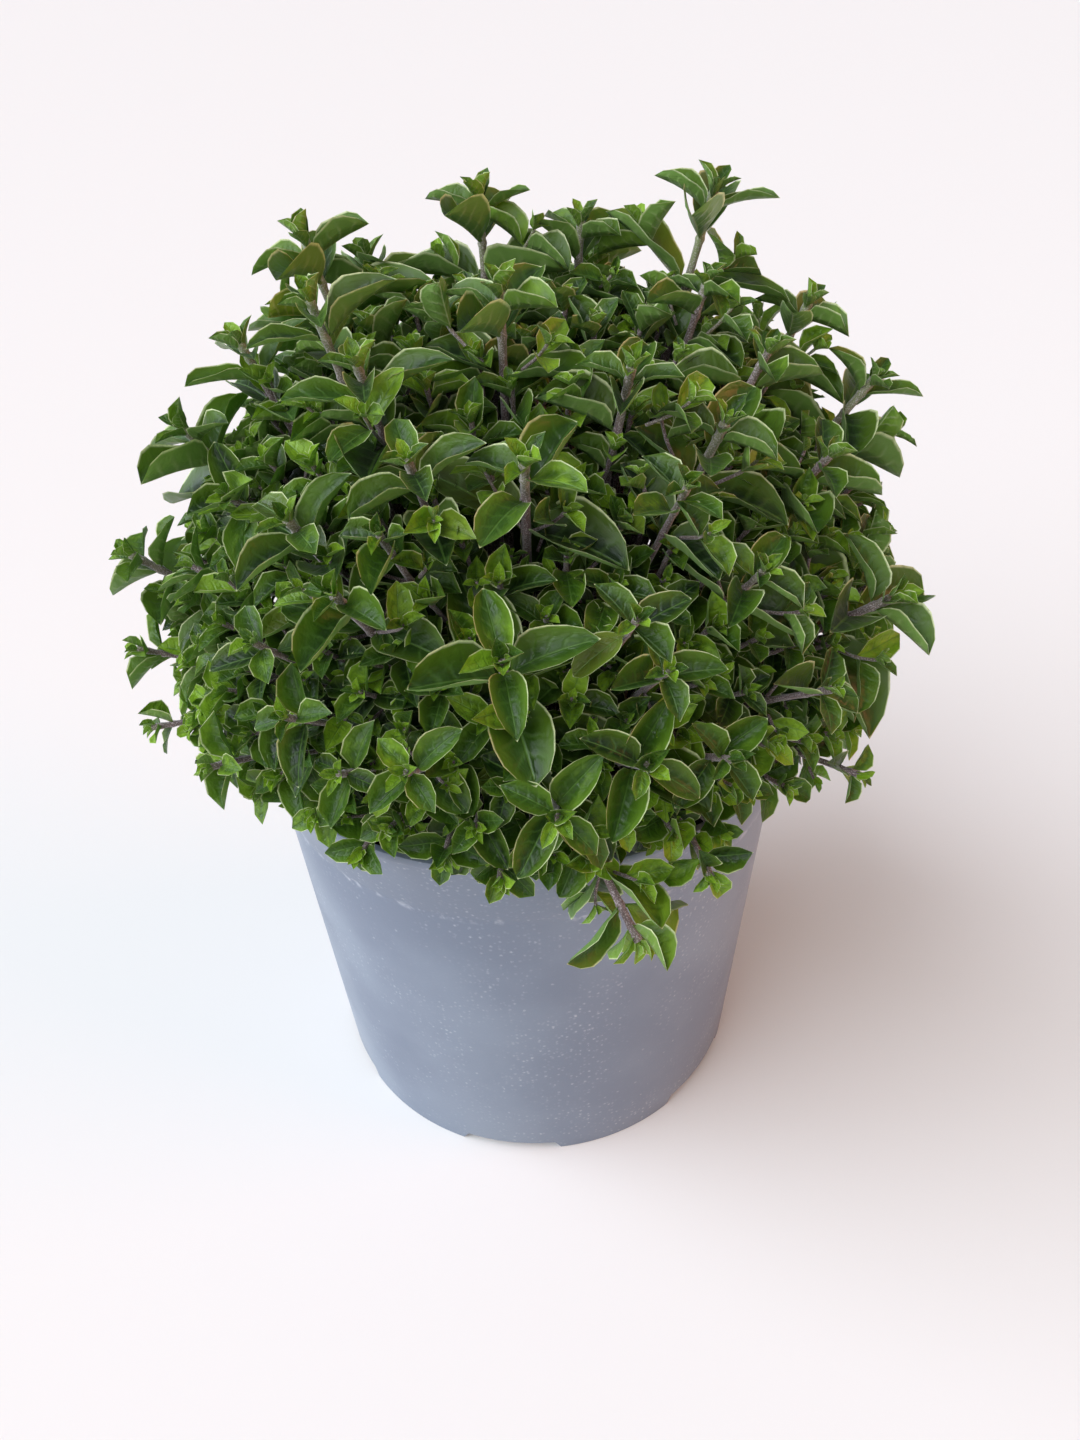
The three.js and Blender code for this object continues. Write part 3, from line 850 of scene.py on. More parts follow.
def makeLeafMaterial():
    # Oregano leaf: thin, downy and slightly waxy. It lets some light through, has a soft bluish
    # sheen, is dull green above and pale sage below, quilted between its sunken veins, and has
    # a fine pale line of hairs along its rim, painted brighter as a highlight where light catches
    # the edge. Painted shade darkens the middle of the blade along its fold at the rib.
    material, tree = newMaterial("oreganoLeaf")
    show, step = leafFinish, {name: ends(values) for name, values in leafSteps.items()}
    place, tone, face = [addNode(tree, "UVMap", uv_map=name) for name in leafLayers]
    along, side, _ = addNode(tree, "SeparateXYZ", {0: place}).node.outputs
    # the leaf's tone: its age and random spread, with painted shade on leaves deep inside the bush
    ageAndShade, seed, _ = addNode(tree, "SeparateXYZ", {0: tone}).node.outputs
    upper, yellow, _ = addNode(tree, "SeparateXYZ", {0: face}).node.outputs
    signed = addNode(tree, "Math", {0: side, 1: 2, 2: -1}, operation="MULTIPLY_ADD")
    across = addNode(tree, "Math", {0: signed}, operation="ABSOLUTE")

    # the seed moves each leaf to a patch of its own in the noise
    shift = addNode(tree, "Math", {0: seed, 1: 37}, operation="MULTIPLY")
    seeded = addNode(tree, "CombineXYZ", {0: along, 1: side, 2: shift})
    blotch = addNode(tree, "TexNoise", {"Vector": seeded, "Scale": show["blotches"], "Detail": 3})
    grain = addNode(tree, "TexNoise", {"Vector": seeded, "Scale": show["grains"], "Detail": 2})

    # rib, side veins and rim
    rib = addNode(tree, "MapRange", {0: across, **step["rib"]}, **smooth)
    sweep = addNode(tree, "Math", {0: across, 1: -show["veinSweep"]}, operation="MULTIPLY")
    comb = addNode(tree, "Math", {0: along, 1: show["veins"], 2: sweep}, operation="MULTIPLY_ADD")
    comb = addNode(tree, "Math", {0: blotch, 1: show["veinWander"], 2: comb}, operation="MULTIPLY_ADD")
    comb = addNode(tree, "Math", {0: comb, 1: 0.5}, operation="PINGPONG")
    line = addNode(tree, "MapRange", {0: comb, **step["vein"]}, **smooth)
    fade = addNode(tree, "MapRange", {0: across, **step["veinFade"]}, **smooth)
    vein = addNode(tree, "Math", {0: line, 1: fade}, operation="MULTIPLY")
    sideRim = addNode(tree, "MapRange", {0: across, **step["sideRim"]}, **smooth)
    tipRim = addNode(tree, "MapRange", {0: along, **step["tipRim"]}, **smooth)
    rim = addNode(tree, "Math", {0: sideRim, 1: tipRim}, operation="MAXIMUM")
    blade = addNode(tree, "MapRange", {0: along, **step["blade"]}, **smooth)

    # upper side
    mottle = {0: blotch, 1: 2 * show["mottle"], 2: -show["mottle"]}
    spread = addNode(tree, "Math", mottle, operation="MULTIPLY_ADD")
    mottledTone = addNode(tree, "Math", {0: ageAndShade, 1: spread}, operation="ADD", use_clamp=True)
    ripe = addNode(tree, "MapRange", {0: mottledTone, **step["ripe"]}, **smooth)
    fresh = addNode(tree, "MapRange", {0: mottledTone, **step["fresh"]}, **smooth)
    # painted shade: the blade is kept darker down the middle, along its fold at the rib, and lightens
    # towards the rim, which is in part the leaf's own paler margin
    marginAndFoldShade = addNode(tree, "MapRange", {0: across, **step["marginAndFoldShade"]}, **smooth)
    veinShare = addNode(tree, "Math", {0: vein, 1: show["veinShow"]}, operation="MULTIPLY")
    ribShare = addNode(tree, "Math", {0: rib, 1: show["ribShow"]}, operation="MULTIPLY")
    green = paint["leafOld"]
    for share, name in (
        (ripe, "leafFull"),
        (fresh, "leafYoung"),
        (marginAndFoldShade, "leafYoung"),
        (yellow, "leafYellow"),
        (veinShare, "leafVein"),
        (ribShare, "leafVein"),
    ):
        green = addNode(tree, "Mix", {0: share, 6: green, 7: paint[name]}, **blend)

    # lower side, which turns pale as the leaf ages
    tender = addNode(tree, "MapRange", {0: ageAndShade, **step["greenBelow"]}, **smooth)
    under = addNode(tree, "Mix", {0: tender, 6: paint["leafUnder"], 7: green}, **blend)
    for share in (veinShare, ribShare):
        under = addNode(tree, "Mix", {0: share, 6: under, 7: paint["leafRim"]}, **blend)
    colour = addNode(tree, "Mix", {0: upper, 6: under, 7: green}, **blend)
    # pale hairs along the rim, painted brighter as a highlight where the edge catches the light
    rimHairsAndGlint = addNode(tree, "MapRange", {0: grain, **step["rimHairsAndGlint"]}, **smooth)
    for part in (rim, blade):
        rimHairsAndGlint = addNode(tree, "Math", {0: rimHairsAndGlint, 1: part}, operation="MULTIPLY")
    colour = addNode(tree, "Mix", {0: rimHairsAndGlint, 6: colour, 7: paint["leafRim"]}, **blend)

    # relief, turned over on the lower side
    facing = addNode(tree, "Math", {0: upper, 1: 2, 2: -1}, operation="MULTIPLY_ADD")
    sunk = addNode(tree, "Math", {0: vein, 1: show["veinDepth"], 2: rib}, operation="MULTIPLY_ADD")
    quilt = addNode(tree, "Math", {0: grain, 1: show["grainDepth"]}, operation="MULTIPLY")
    quilt = addNode(tree, "Math", {0: blotch, 1: show["blotchDepth"], 2: quilt}, operation="MULTIPLY_ADD")
    quilt = addNode(tree, "Math", {0: quilt, 1: sunk}, operation="SUBTRACT")
    relief = addNode(tree, "Math", {0: quilt, 1: facing}, operation="MULTIPLY")
    bump = addNode(
        tree, "Bump", {"Strength": show["bump"], "Distance": show["quilt"], "Height": relief}
    )
    rough = addNode(tree, "MapRange", {0: blotch, **step["rough"]}, **smooth)
    surface = addNode(
        tree,
        "BsdfPrincipled",
        {
            "Base Color": colour,
            "Roughness": rough,
            "IOR": 1.43,
            "Sheen Weight": show["sheen"],
            "Sheen Roughness": 0.5,
            "Sheen Tint": paint["leafSheen"],
            "Normal": bump,
        },
    )
    glow = addNode(tree, "Mix", {0: show["glowTint"], 6: colour, 7: paint["leafGlow"]}, **blend)
    through = addNode(tree, "BsdfTranslucent", {"Color": glow, "Normal": bump})
    mixed = addNode(tree, "MixShader", {0: show["glow"], 1: surface, 2: through})
    addNode(tree, "OutputMaterial", {0: mixed})
    return material


# sizes in millimetres
stemFinish = {"hair": 0.35, "patch": 16, "woodTo": 98, "tipFrom": 128, "change": 15, "bump": 0.2}
stemHairs = (0.5, 0.66, 0, 0.6)


def makeStemMaterial():
    # Oregano stem: square and woody at the foot, grey purple higher up and green at the tip,
    # with short white hairs that make it look frosted.
    material, tree = newMaterial("oreganoStem")
    size = {name: value * mm for name, value in stemFinish.items()}
    spot = addNode(tree, "TexCoord", output="Object")
    centre = [v * mm for v in growth["mound"]]
    offset = addNode(tree, "VectorMath", {0: spot, 1: centre}, "Value", operation="DISTANCE")
    patch = addNode(tree, "TexNoise", {"Vector": spot, "Scale": 1 / size["patch"]})
    # drawn coarser than real hairs, which are finer than the render shows
    hairs = addNode(tree, "TexNoise", {"Vector": spot, "Scale": 1 / size["hair"], "Detail": 1})
    out = addNode(tree, "Math", {0: patch, 1: 0.03, 2: offset}, operation="MULTIPLY_ADD")
    woodEnd, tipEnd = size["woodTo"] + size["change"], size["tipFrom"] + 2 * size["change"]
    grown = addNode(tree, "MapRange", {0: out, 1: size["woodTo"], 2: woodEnd}, **smooth)
    tender = addNode(tree, "MapRange", {0: out, 1: size["tipFrom"], 2: tipEnd}, **smooth)
    hairy = addNode(tree, "MapRange", {0: hairs, **ends(stemHairs)}, **smooth)
    colour = paint["stemWood"]
    for share, name in ((grown, "stemGrey"), (tender, "stemTip"), (hairy, "stemHair")):
        colour = addNode(tree, "Mix", {0: share, 6: colour, 7: paint[name]}, **blend)
    bump = addNode(tree, "Bump", {"Strength": 0.5, "Distance": size["bump"], "Height": hairs})
    surface = addNode(
        tree,
        "BsdfPrincipled",
        {
            "Base Color": colour,
            "Roughness": 0.68,
            "IOR": 1.45,
            "Sheen Weight": 0.4,
            "Sheen Roughness": 0.45,
            "Normal": bump,
        },
    )
    addNode(tree, "OutputMaterial", {0: surface})
    return material


# sizes in millimetres; specks are spattered in patches, and a pale ring runs round the collar,
# partly scuffs and partly a painted highlight along the bend of the collar
potFinish = {"cloud": 70, "speck": 1.5, "fleck": 6.5, "patch": 26, "grain": 0.7, "ring": 2.4, "smear": 5}
potSteps = {
    "bloom": (0.35, 0.65, 0, 1),
    "speck": (0.48, 0.05, 0, 1),
    "kept": (0.4, 1, 0, 1),
    "dense": (0.4, 0.62, 0.04, 0.45),
    "fleck": (0.1, 0.04, 0, 0.25),
    "ringPatches": (0.5, 0.66, 0, 0.4),
    "rough": (0.3, 0.7, 0.34, 0.46),
}


def makePotMaterial():
    # Injection moulded polypropylene, slate grey: satin and finely grained, with dust specks,
    # faint cloudy bloom, and a pale band round the collar, partly scuffs where pots were stacked
    # into each other and partly a painted highlight.
    material, tree = newMaterial("mouldedPolypropylene")
    size = {name: 1 / (value * mm) for name, value in potFinish.items()}
    step = {name: ends(values) for name, values in potSteps.items()}
    spot = addNode(tree, "TexCoord", output="Object")
    cloud, patch, grain, smear = [
        addNode(tree, "TexNoise", {"Vector": spot, "Scale": size[name], "Detail": detail})
        for name, detail in (("cloud", 4), ("patch", 2), ("grain", 2), ("smear", 3))
    ]
    bloom = addNode(tree, "MapRange", {0: cloud, **step["bloom"]}, **smooth)

    # small specks, some of them left out, and a few larger flecks
    warped = addNode(tree, "TexNoise", {"Vector": spot, "Scale": 3 * size["speck"]}, "Color")
    jitter = addNode(tree, "VectorMath", {0: warped, "Scale": 0.9 * mm}, operation="SCALE")
    shaken = addNode(tree, "VectorMath", {0: spot, 1: jitter}, operation="ADD")
    specks = addNode(tree, "TexVoronoi", {"Vector": shaken, "Scale": size["speck"]})
    chance = addNode(tree, "SeparateXYZ", {0: specks.node.outputs["Color"]})
    flecks = addNode(tree, "TexVoronoi", {"Vector": shaken, "Scale": size["fleck"]})
    dot = addNode(tree, "MapRange", {0: specks, **step["speck"]}, **smooth)
    kept = addNode(tree, "MapRange", {0: chance, **step["kept"]})
    dense = addNode(tree, "MapRange", {0: patch, **step["dense"]}, **smooth)
    for part in (kept, dense):
        dot = addNode(tree, "Math", {0: dot, 1: part}, operation="MULTIPLY")
    large = addNode(tree, "MapRange", {0: flecks, **step["fleck"]}, **smooth)

    # a pale ring round the collar, which wanders up and down: partly wear, partly a painted highlight
    height = addNode(tree, "SeparateXYZ", {0: spot}, 2)
    collar = potForm["collarHeight"] * mm
    offset = addNode(tree, "Math", {0: height, 1: collar}, operation="SUBTRACT")
    wander = addNode(tree, "Math", {0: patch, 1: 6 * mm, 2: -3 * mm}, operation="MULTIPLY_ADD")
    offset = addNode(tree, "Math", {0: offset, 1: wander}, operation="ADD")
    offset = addNode(tree, "Math", {0: offset}, operation="ABSOLUTE")
    ring = addNode(tree, "MapRange", {0: offset, 1: potFinish["ring"] * mm, 2: 0}, **smooth)
    ringPatches = addNode(tree, "MapRange", {0: smear, **step["ringPatches"]}, **smooth)
    scuffAndHighlight = addNode(tree, "Math", {0: ring, 1: ringPatches}, operation="MULTIPLY")

    colour = addNode(tree, "Mix", {0: bloom, 6: paint["potBody"], 7: paint["potShade"]}, **blend)
    for share in (dot, large, scuffAndHighlight):
        colour = addNode(tree, "Mix", {0: share, 6: colour, 7: paint["potDustAndHighlight"]}, **blend)
    bump = addNode(tree, "Bump", {"Strength": 0.15, "Distance": 0.3 * mm, "Height": grain})
    rough = addNode(tree, "MapRange", {0: cloud, **step["rough"]}, **smooth)
    surface = addNode(
        tree, "BsdfPrincipled", {"Base Color": colour, "Roughness": rough, "IOR": 1.49, "Normal": bump}
    )
    addNode(tree, "OutputMaterial", {0: surface})
    return material


# sizes in millimetres
soilFinish = {"crumb": 2.4, "patch": 17}


def makeSoilMaterial():
    # Moist peat potting mix: almost black, rough and crumbly, with paler fibres.
    material, tree = newMaterial("peatPottingMix")
    spot = addNode(tree, "TexCoord", output="Object")
    crumbs, patch = [
        addNode(tree, "TexNoise", {"Vector": spot, "Scale": 1 / (soilFinish[name] * mm), "Detail": detail})
        for name, detail in (("crumb", 5), ("patch", 3))
    ]
    mixed = addNode(tree, "Math", {0: crumbs, 1: patch}, operation="MULTIPLY")
    share = addNode(tree, "MapRange", {0: mixed, 1: 0.2, 2: 0.42}, **smooth)
    colour = addNode(tree, "Mix", {0: share, 6: paint["soilDark"], 7: paint["soilLight"]}, **blend)
    bump = addNode(tree, "Bump", {"Strength": 0.8, "Distance": 1 * mm, "Height": crumbs})
    surface = addNode(
        tree, "BsdfPrincipled", {"Base Color": colour, "Roughness": 0.92, "IOR": 1.4, "Normal": bump}
    )
    addNode(tree, "OutputMaterial", {0: surface})
    return material


leafMaterial = makeLeafMaterial()
stemMaterial = makeStemMaterial()
potMaterial = makePotMaterial()
soilMaterial = makeSoilMaterial()
print("materials made")


def newObject(bm, name):
    mesh = bpy.data.meshes.new(name)
    bm.to_mesh(mesh)
    bm.free()
    piece = bpy.data.objects.new(name, mesh)
    bpy.context.scene.collection.objects.link(piece)
    return piece


# ---- leaf templates ----

bladeForm = {
    "rows": [0, 0.07, 0.14, 0.25, 0.38, 0.52, 0.67, 0.81, 0.93, 1],
    "fewRows": [0, 0.1, 0.3, 0.56, 0.82, 1],
    "columns": 4,
    "variants": 3,
    "innerColumn": 0.62,
    "petioleEnd": 0.07,
    "petioleHalf": 0.032,
    "thickness": 0.02,
    "wave": 0.04,
    "waveTurn": 9,
    "waveShift": 1.6,
    "waveGain": 3,
    "endTaper": 8,
    "variantPhase": 2.1,
    "shapePhase": 0.7,
    "footRound": 0.57,
    "tipRound": 0.51,
    "rimLift": (0.12, 1.15),
    "droop": 0.14,
}


def bladeHalf(along):
    start = bladeForm["petioleEnd"]
    if along <= start:
        return bladeForm["petioleHalf"]
    t = min((along - start) / (1 - start), 1)
    foot, tip = bladeForm["footRound"], bladeForm["tipRound"]
    widest = foot / (foot + tip)
    swell = (t / widest) ** foot * ((1 - t) / (1 - widest)) ** tip
    return max(0.5 * growth["leafWidth"] * swell, bladeForm["petioleHalf"] * (1 - t))


def makeTemplate(fold, curl, phase, rows):
    bm = bmesh.new()
    places, _, faces = [bm.loops.layers.uv.new(layer) for layer in leafLayers]
    bmesh.ops.create_grid(bm, x_segments=bladeForm["columns"], y_segments=len(rows) - 1, size=0.5)
    for vert in bm.verts:
        row = round((vert.co.y + 0.5) * (len(rows) - 1))
        vert.co.y = rows[row] - 0.5
        if 0.2 < abs(vert.co.x) < 0.3:  # the columns between rib and rim
            vert.co.x *= 2 * bladeForm["innerColumn"]
    for bmFace in bm.faces:
        for loop in bmFace.loops:
            loop[places].uv = (loop.vert.co.y + 0.5, loop.vert.co.x + 0.5)
            loop[faces].uv = (1, 0)
    lower = bmesh.ops.duplicate(bm, geom=bm.verts[:] + bm.edges[:] + bm.faces[:])["geom"]
    lowerFaces = [g for g in lower if isinstance(g, bmesh.types.BMFace)]
    lowerVerts = {g for g in lower if isinstance(g, bmesh.types.BMVert)}
    bmesh.ops.reverse_faces(bm, faces=lowerFaces)
    for bmFace in lowerFaces:
        for loop in bmFace.loops:
            loop[faces].uv = (0, 0)
    inner, outer = bladeForm["rimLift"]
    for vert in bm.verts:
        along, across = vert.co.y + 0.5, 2 * vert.co.x
        half = bladeHalf(along)
        x = across * half
        edge = abs(across) ** 2
        droop = (curl + bladeForm["droop"]) * along * along
        lift = fold * abs(x) * (inner + outer * abs(across)) - droop
        shift = bladeForm["waveShift"] if across > 0 else 0
        ripple = math.sin(bladeForm["waveTurn"] * along + phase + shift)
        lift += bladeForm["wave"] * edge * ripple * half * bladeForm["waveGain"]
        if vert in lowerVerts:
            taper = bladeForm["endTaper"]
            lift -= bladeForm["thickness"] * (1 - edge) ** 0.5 * min(1, taper * along, taper * (1 - along))
        vert.co = (x, along * (1 + growth["petiole"]), lift)
    bmesh.ops.remove_doubles(bm, verts=bm.verts[:], dist=1e-4)
    bmesh.ops.dissolve_degenerate(bm, edges=bm.edges[:], dist=1e-5)
    for edge in bm.edges:
        sides = {round(f.loops[0][faces].uv.x) for f in edge.link_faces}
        edge.smooth = len(sides) < 2
    for bmFace in bm.faces:
        bmFace.smooth = True
    mesh = bpy.data.meshes.new("blade")
    bm.to_mesh(mesh)
    bm.free()
    return mesh


templates = {}
for shape, (fold, curl) in enumerate(leafShapes):
    for variant in range(bladeForm["variants"]):
        phase = bladeForm["variantPhase"] * variant + bladeForm["shapePhase"] * shape
        for large, rows in ((True, "rows"), (False, "fewRows")):
            templates[shape, variant, large] = makeTemplate(fold, curl, phase, bladeForm[rows])
print("leaf templates:", len(templates))

# ---- stems and leaves as meshes ----

foliage = {
    "largeFrom": 12.5,
    "levelTone": {-2: 0.95, -1: 0.88, 0: 0.74, 1: 0.56, 2: 0.42, 3: 0.32},
    "deepTone": 0.2,
    # painted shade on leaves deep inside the bush: how much they are darkened, the distance from the middle
    # inside which it begins, and over which it deepens
    "innerShade": 0.46,
    "innerShadeFrom": 112,
    "innerShadeOver": 30,
    "toneSpread": 0.6,
    "shootSpread": 0.34,
    "sprigYoung": 0.18,
    "lowTone": 0.26,
    "lowBelow": 215,
    "lowOver": 40,
    "toneEnds": (0.02, 0.98),
    "yellowShare": 0.02,
    "slim": 0.92,
    "youngSlim": 0.82,
    "broadBelow": 15,
    "broadBy": 0.32,
    "node": 0.35,
    "taper": 0.34,
    "stemHalf": 0.58,
    "markEvery": 6,
    "nodeHalf": 1.1,
}


def held(value, low=0, high=1):
    return min(max(value, low), high)


def addLeafMesh(bm, leaf, young, random):
    large = leaf["length"] > foliage["largeFrom"]
    variant = math.floor(random() * bladeForm["variants"])
    mesh = templates[leaf["shape"], variant, large].copy()
    size = leaf["length"] * mm
    # small leaves are rounder, but not the young ones still folded in a tip
    small = held(2 * (1 - leaf["length"] / foliage["broadBelow"])) if leaf["level"] > 0 else 0
    broad = size * (foliage["slim"] + foliage["broadBy"] * small)
    broad *= foliage["youngSlim"] if leaf["level"] in (0, 1, 2) else 1
    columns = [-leaf["side"] * broad, leaf["axis"] * size, leaf["normal"] * size, leaf["root"] * mm]
    matrix = Matrix([[float(columns[c][r]) for c in range(4)] for r in range(3)] + [[0, 0, 0, 1]])
    mesh.transform(matrix)
    tone = foliage["levelTone"].get(leaf["level"], foliage["deepTone"]) + young
    depth = lengthOf(leaf["middle"] - mound)
    # painted shade: leaves deep inside the bush are darkened where the leaves around them keep the light
    # out; those low on it are made lighter
    tone -= foliage["innerShade"] * held((foliage["innerShadeFrom"] - depth) / foliage["innerShadeOver"])
    tone += foliage["lowTone"] * held((foliage["lowBelow"] - leaf["middle"][2]) / foliage["lowOver"])
    tone = held(tone + foliage["toneSpread"] * (random() - 0.5), *foliage["toneEnds"])
    seed = random()
    yellow = 0.4 * random() if random() < foliage["yellowShare"] and leaf["level"] > 0 else 0
    count = len(mesh.loops)
    pairs = np.tile((tone, seed), count).astype(np.float32)
    mesh.uv_layers["leafTone"].uv.foreach_set("vector", pairs)
    face = np.zeros(2 * count, np.float32)
    mesh.uv_layers["leafFace"].uv.foreach_get("vector", face)
    face[1::2] = yellow
    mesh.uv_layers["leafFace"].uv.foreach_set("vector", face)
    bm.from_mesh(mesh)
    bpy.data.meshes.remove(mesh)


def stemPath(stem):
    # points from tip to foot with their radii, thicker at each node
    length = stem["length"]
    nodes = sorted({round(leaf["below"], 2) for leaf in stem["leaves"]})
    marks = set(np.linspace(0, length, max(3, int(length / foliage["markEvery"])) + 1).round(2))
    for node in nodes:
        marks |= {node - foliage["nodeHalf"], node, node + foliage["nodeHalf"]}
    marks = sorted(m for m in marks if 0 <= m <= length)
    points, radii = [], []
    for mark in marks:
        around = [alongStem(stem, held(mark + step, 0, length))[0] for step in (-3, 0, 3)]
        points.append((around[0] + 2 * around[1] + around[2]) / 4)
        share = 1 - mark / length
        radius = foliage["stemHalf"] * stem["side"] * (1 - foliage["taper"] * share)
        near = min((abs(mark - node) for node in nodes), default=9)
        radii.append(radius * (1 + foliage["node"] * math.exp(-near * near)))
    return points, radii


def addStemMeshes(bm, grown, name):
    curve = bpy.data.curves.new(name, "CURVE")
    curve.dimensions = "3D"
    curve.bevel_depth = 1.0
    curve.bevel_resolution = 1
    curve.use_fill_caps = True
    for stem in grown:
        points, radii = stemPath(stem)
        spline = curve.splines.new("POLY")
        spline.points.add(len(points) - 1)
        for place, (point, radius) in enumerate(zip(points, radii)):
            spline.points[place].co = (*(point * mm), 1)
            spline.points[place].radius = radius * mm
    holder = bpy.data.objects.new(name, curve)
    bpy.context.scene.collection.objects.link(holder)
    bpy.context.view_layer.update()
    mesh = bpy.data.meshes.new_from_object(holder.evaluated_get(bpy.context.evaluated_depsgraph_get()))
    before = len(bm.faces)
    bm.from_mesh(mesh)
    bm.faces.ensure_lookup_table()
    for bmFace in bm.faces[before:]:
        bmFace.material_index = 1
        bmFace.smooth = True
    bpy.data.meshes.remove(mesh)
    bpy.data.objects.remove(holder)
    bpy.data.curves.remove(curve)


def makeShootPiece(name, shoots, random, nodes):
    bm = bmesh.new()
    for layer in leafLayers:
        bm.loops.layers.uv.new(layer)
    grown = []
    for stem in shoots:
        grown += [stem, *stem["sprigs"]]
        shade = foliage["shootSpread"] * (random() - 0.5)
        for leaf in stem["leaves"]:
            addLeafMesh(bm, leaf, shade, random)
        for sprig in stem["sprigs"]:
            for leaf in sprig["leaves"]:
                addLeafMesh(bm, leaf, shade + foliage["sprigYoung"], random)
    addStemMeshes(bm, grown, name + "Stems")
    piece = newObject(bm, name)
    piece.data.materials.append(leafMaterial)
    piece.data.materials.append(stemMaterial)
    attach(piece, "root")
    if nodes:
        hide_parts(*nodes)


for index, stem in enumerate(stems):
    number = f"{index + 1:02d}"
    random = randomFor("shootPiece", index)
    makeShootPiece("oreganoShoot" + number, [stem, *stem["sideShoots"]], random, ["leafy_stem_" + number])
fillerGroups = 8
for group in range(fillerGroups):
    random = randomFor("innerPiece", group)
    makeShootPiece("innerShoots" + str(group + 1), fillers[group::fillerGroups], random, [])
print("shoots made:", len(stems), "and", fillerGroups, "groups of inner shoots")

# ---- pot ----


def spinProfile(bm, points, steps, start):
    verts = [bm.verts.new((radius * mm, 0, height * mm)) for radius, height in points]
    edges = [bm.edges.new(pair) for pair in zip(verts, verts[1:])]
    bmesh.ops.rotate(bm, verts=verts, cent=(0, 0, 0), matrix=Matrix.Rotation(start, 3, "Z"))
    bmesh.ops.spin(
        bm,
        geom=verts + edges,
        cent=(0, 0, 0),
        axis=(0, 0, 1),
        angle=2 * math.pi,
        steps=steps,
        use_merge=True,
    )
    bmesh.ops.remove_doubles(bm, verts=bm.verts[:], dist=1e-6)


def finishPiece(bm, name, material, nodes, sharpFrom):
    bmesh.ops.recalc_face_normals(bm, faces=bm.faces[:])
    for bmFace in bm.faces:
        bmFace.smooth = True
    piece = newObject(bm, name)
    piece.data.set_sharp_from_angle(angle=math.radians(sharpFrom))
    piece.data.materials.append(material)
    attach(piece, "root")
    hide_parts(*nodes)
    return piece


potLook = {
    "steps": 240,
    "collarRound": 1.2,
    "lipRound": 0.6,
    "sharpFrom": 28,
    "holeSides": 40,
    "drillLength": 20,
    "drillMiddle": 5,
}


def potProfile():
    form, bow, lip = potForm, potLook["collarRound"], potLook["lipRound"]
    height, rim, base, collar = form["height"], form["rimRadius"], form["baseRadius"], form["collarHeight"]
    lipBottom, low, top = height - form["lipHeight"], form["floorBottom"], form["floorTop"]

    def inner(z):
        return wallRadius(z) - form["wall"]

    outside = [0.3, 1.2, 5, 30, 70, 105, collar - bow, collar, collar + bow, 150, lipBottom]
    inside = [height - lip, collar + bow, collar - bow, 105, 70, 40, top + 4]
    return (
        [(0, 0), (form["padRadius"], 0), (form["padRadius"] + 2, low), (base - form["footWidth"] - 2, low)]
        + [(base - form["footWidth"], 0), (base - 0.5, 0)]
        + [(wallRadius(z), z) for z in outside]
        + [(rim - 0.3 * lip, lipBottom + 0.2), (rim, lipBottom + lip), (rim, height - lip)]
        + [(rim - 0.3 * lip, height - 0.3 * lip), (rim - lip, height), (inner(height) + 0.4, height)]
        + [(inner(z), z) for z in inside]
        + [(inner(top) - 1.2, top + 1.2), (inner(top) - 4, top), (0, top)]
    )


def raiseNotches(bm):
    form = potForm
    half = math.degrees(form["notchWidth"] / 2 / form["baseRadius"])
    spacing = 360 / form["notchCount"]
    for vert in bm.verts:
        radius, z = math.hypot(vert.co.x, vert.co.y) / mm, vert.co.z / mm
        if radius < form["baseRadius"] - form["footWidth"] - 1 or z > 2:
            continue
        azimuth = math.degrees(math.atan2(vert.co.x, -vert.co.y)) - form["notchTurn"]
        if abs((azimuth + spacing / 2) % spacing - spacing / 2) < half:
            vert.co.z = (form["notchHeight"] + 0.4 * z) * mm


def drillHoles(piece):
    bm = bmesh.new()
    for i in range(potForm["notchCount"]):
        azimuth = 360 * (i + 0.5) / potForm["notchCount"] + potForm["notchTurn"]
        place = Vector(direction(azimuth, 0) * potForm["holeCircle"]) * mm
        bmesh.ops.create_cone(
            bm,
            cap_ends=True,
            segments=potLook["holeSides"],
            radius1=potForm["holeRadius"] * mm,
            radius2=potForm["holeRadius"] * mm,
            depth=potLook["drillLength"] * mm,
            matrix=Matrix.Translation(place + Vector((0, 0, potLook["drillMiddle"] * mm))),
        )
    drills = newObject(bm, "drills")
    cut = piece.modifiers.new("holes", "BOOLEAN")
    cut.operation = "DIFFERENCE"
    cut.solver = "EXACT"
    cut.object = drills
    bpy.context.view_layer.update()
    drilled = bpy.data.meshes.new_from_object(
        piece.evaluated_get(bpy.context.evaluated_depsgraph_get())
    )
    piece.modifiers.remove(cut)
    piece.data = drilled
    bpy.data.objects.remove(drills)


bm = bmesh.new()
spinProfile(bm, potProfile(), potLook["steps"], math.radians(potForm["notchTurn"]))
raiseNotches(bm)
pot = finishPiece(bm, "nurseryPot", potMaterial, ["pot"], potLook["sharpFrom"])
drillHoles(pot)
print("pot made")

# ---- potting mix ----

soilLook = {
    "steps": 120,
    "ring": 2.5,
    "chamfer": 5,
    "bump": 1.3,
    "sharpFrom": 60,
    # how fine the lumps and the grains on them are, and how much the grains add
    "lumps": 90,
    "grains": 260,
    "grainShare": 0.6,
    "crumbs": 420,
    "crumb": (0.7, 2.2),
    "crumbInset": 3,
    "crumbRise": 0.4,
    "crumbLeast": 0.6,
    "crumbUneven": 0.4,
    "crumbHeight": 0.6,
    "crumbTurn": 6.283,
}


def soilTop(radius):
    share = min(radius / soilForm["rootRadius"], 1)
    return soilForm["middle"] + (soilForm["edge"] - soilForm["middle"]) * share ** 2


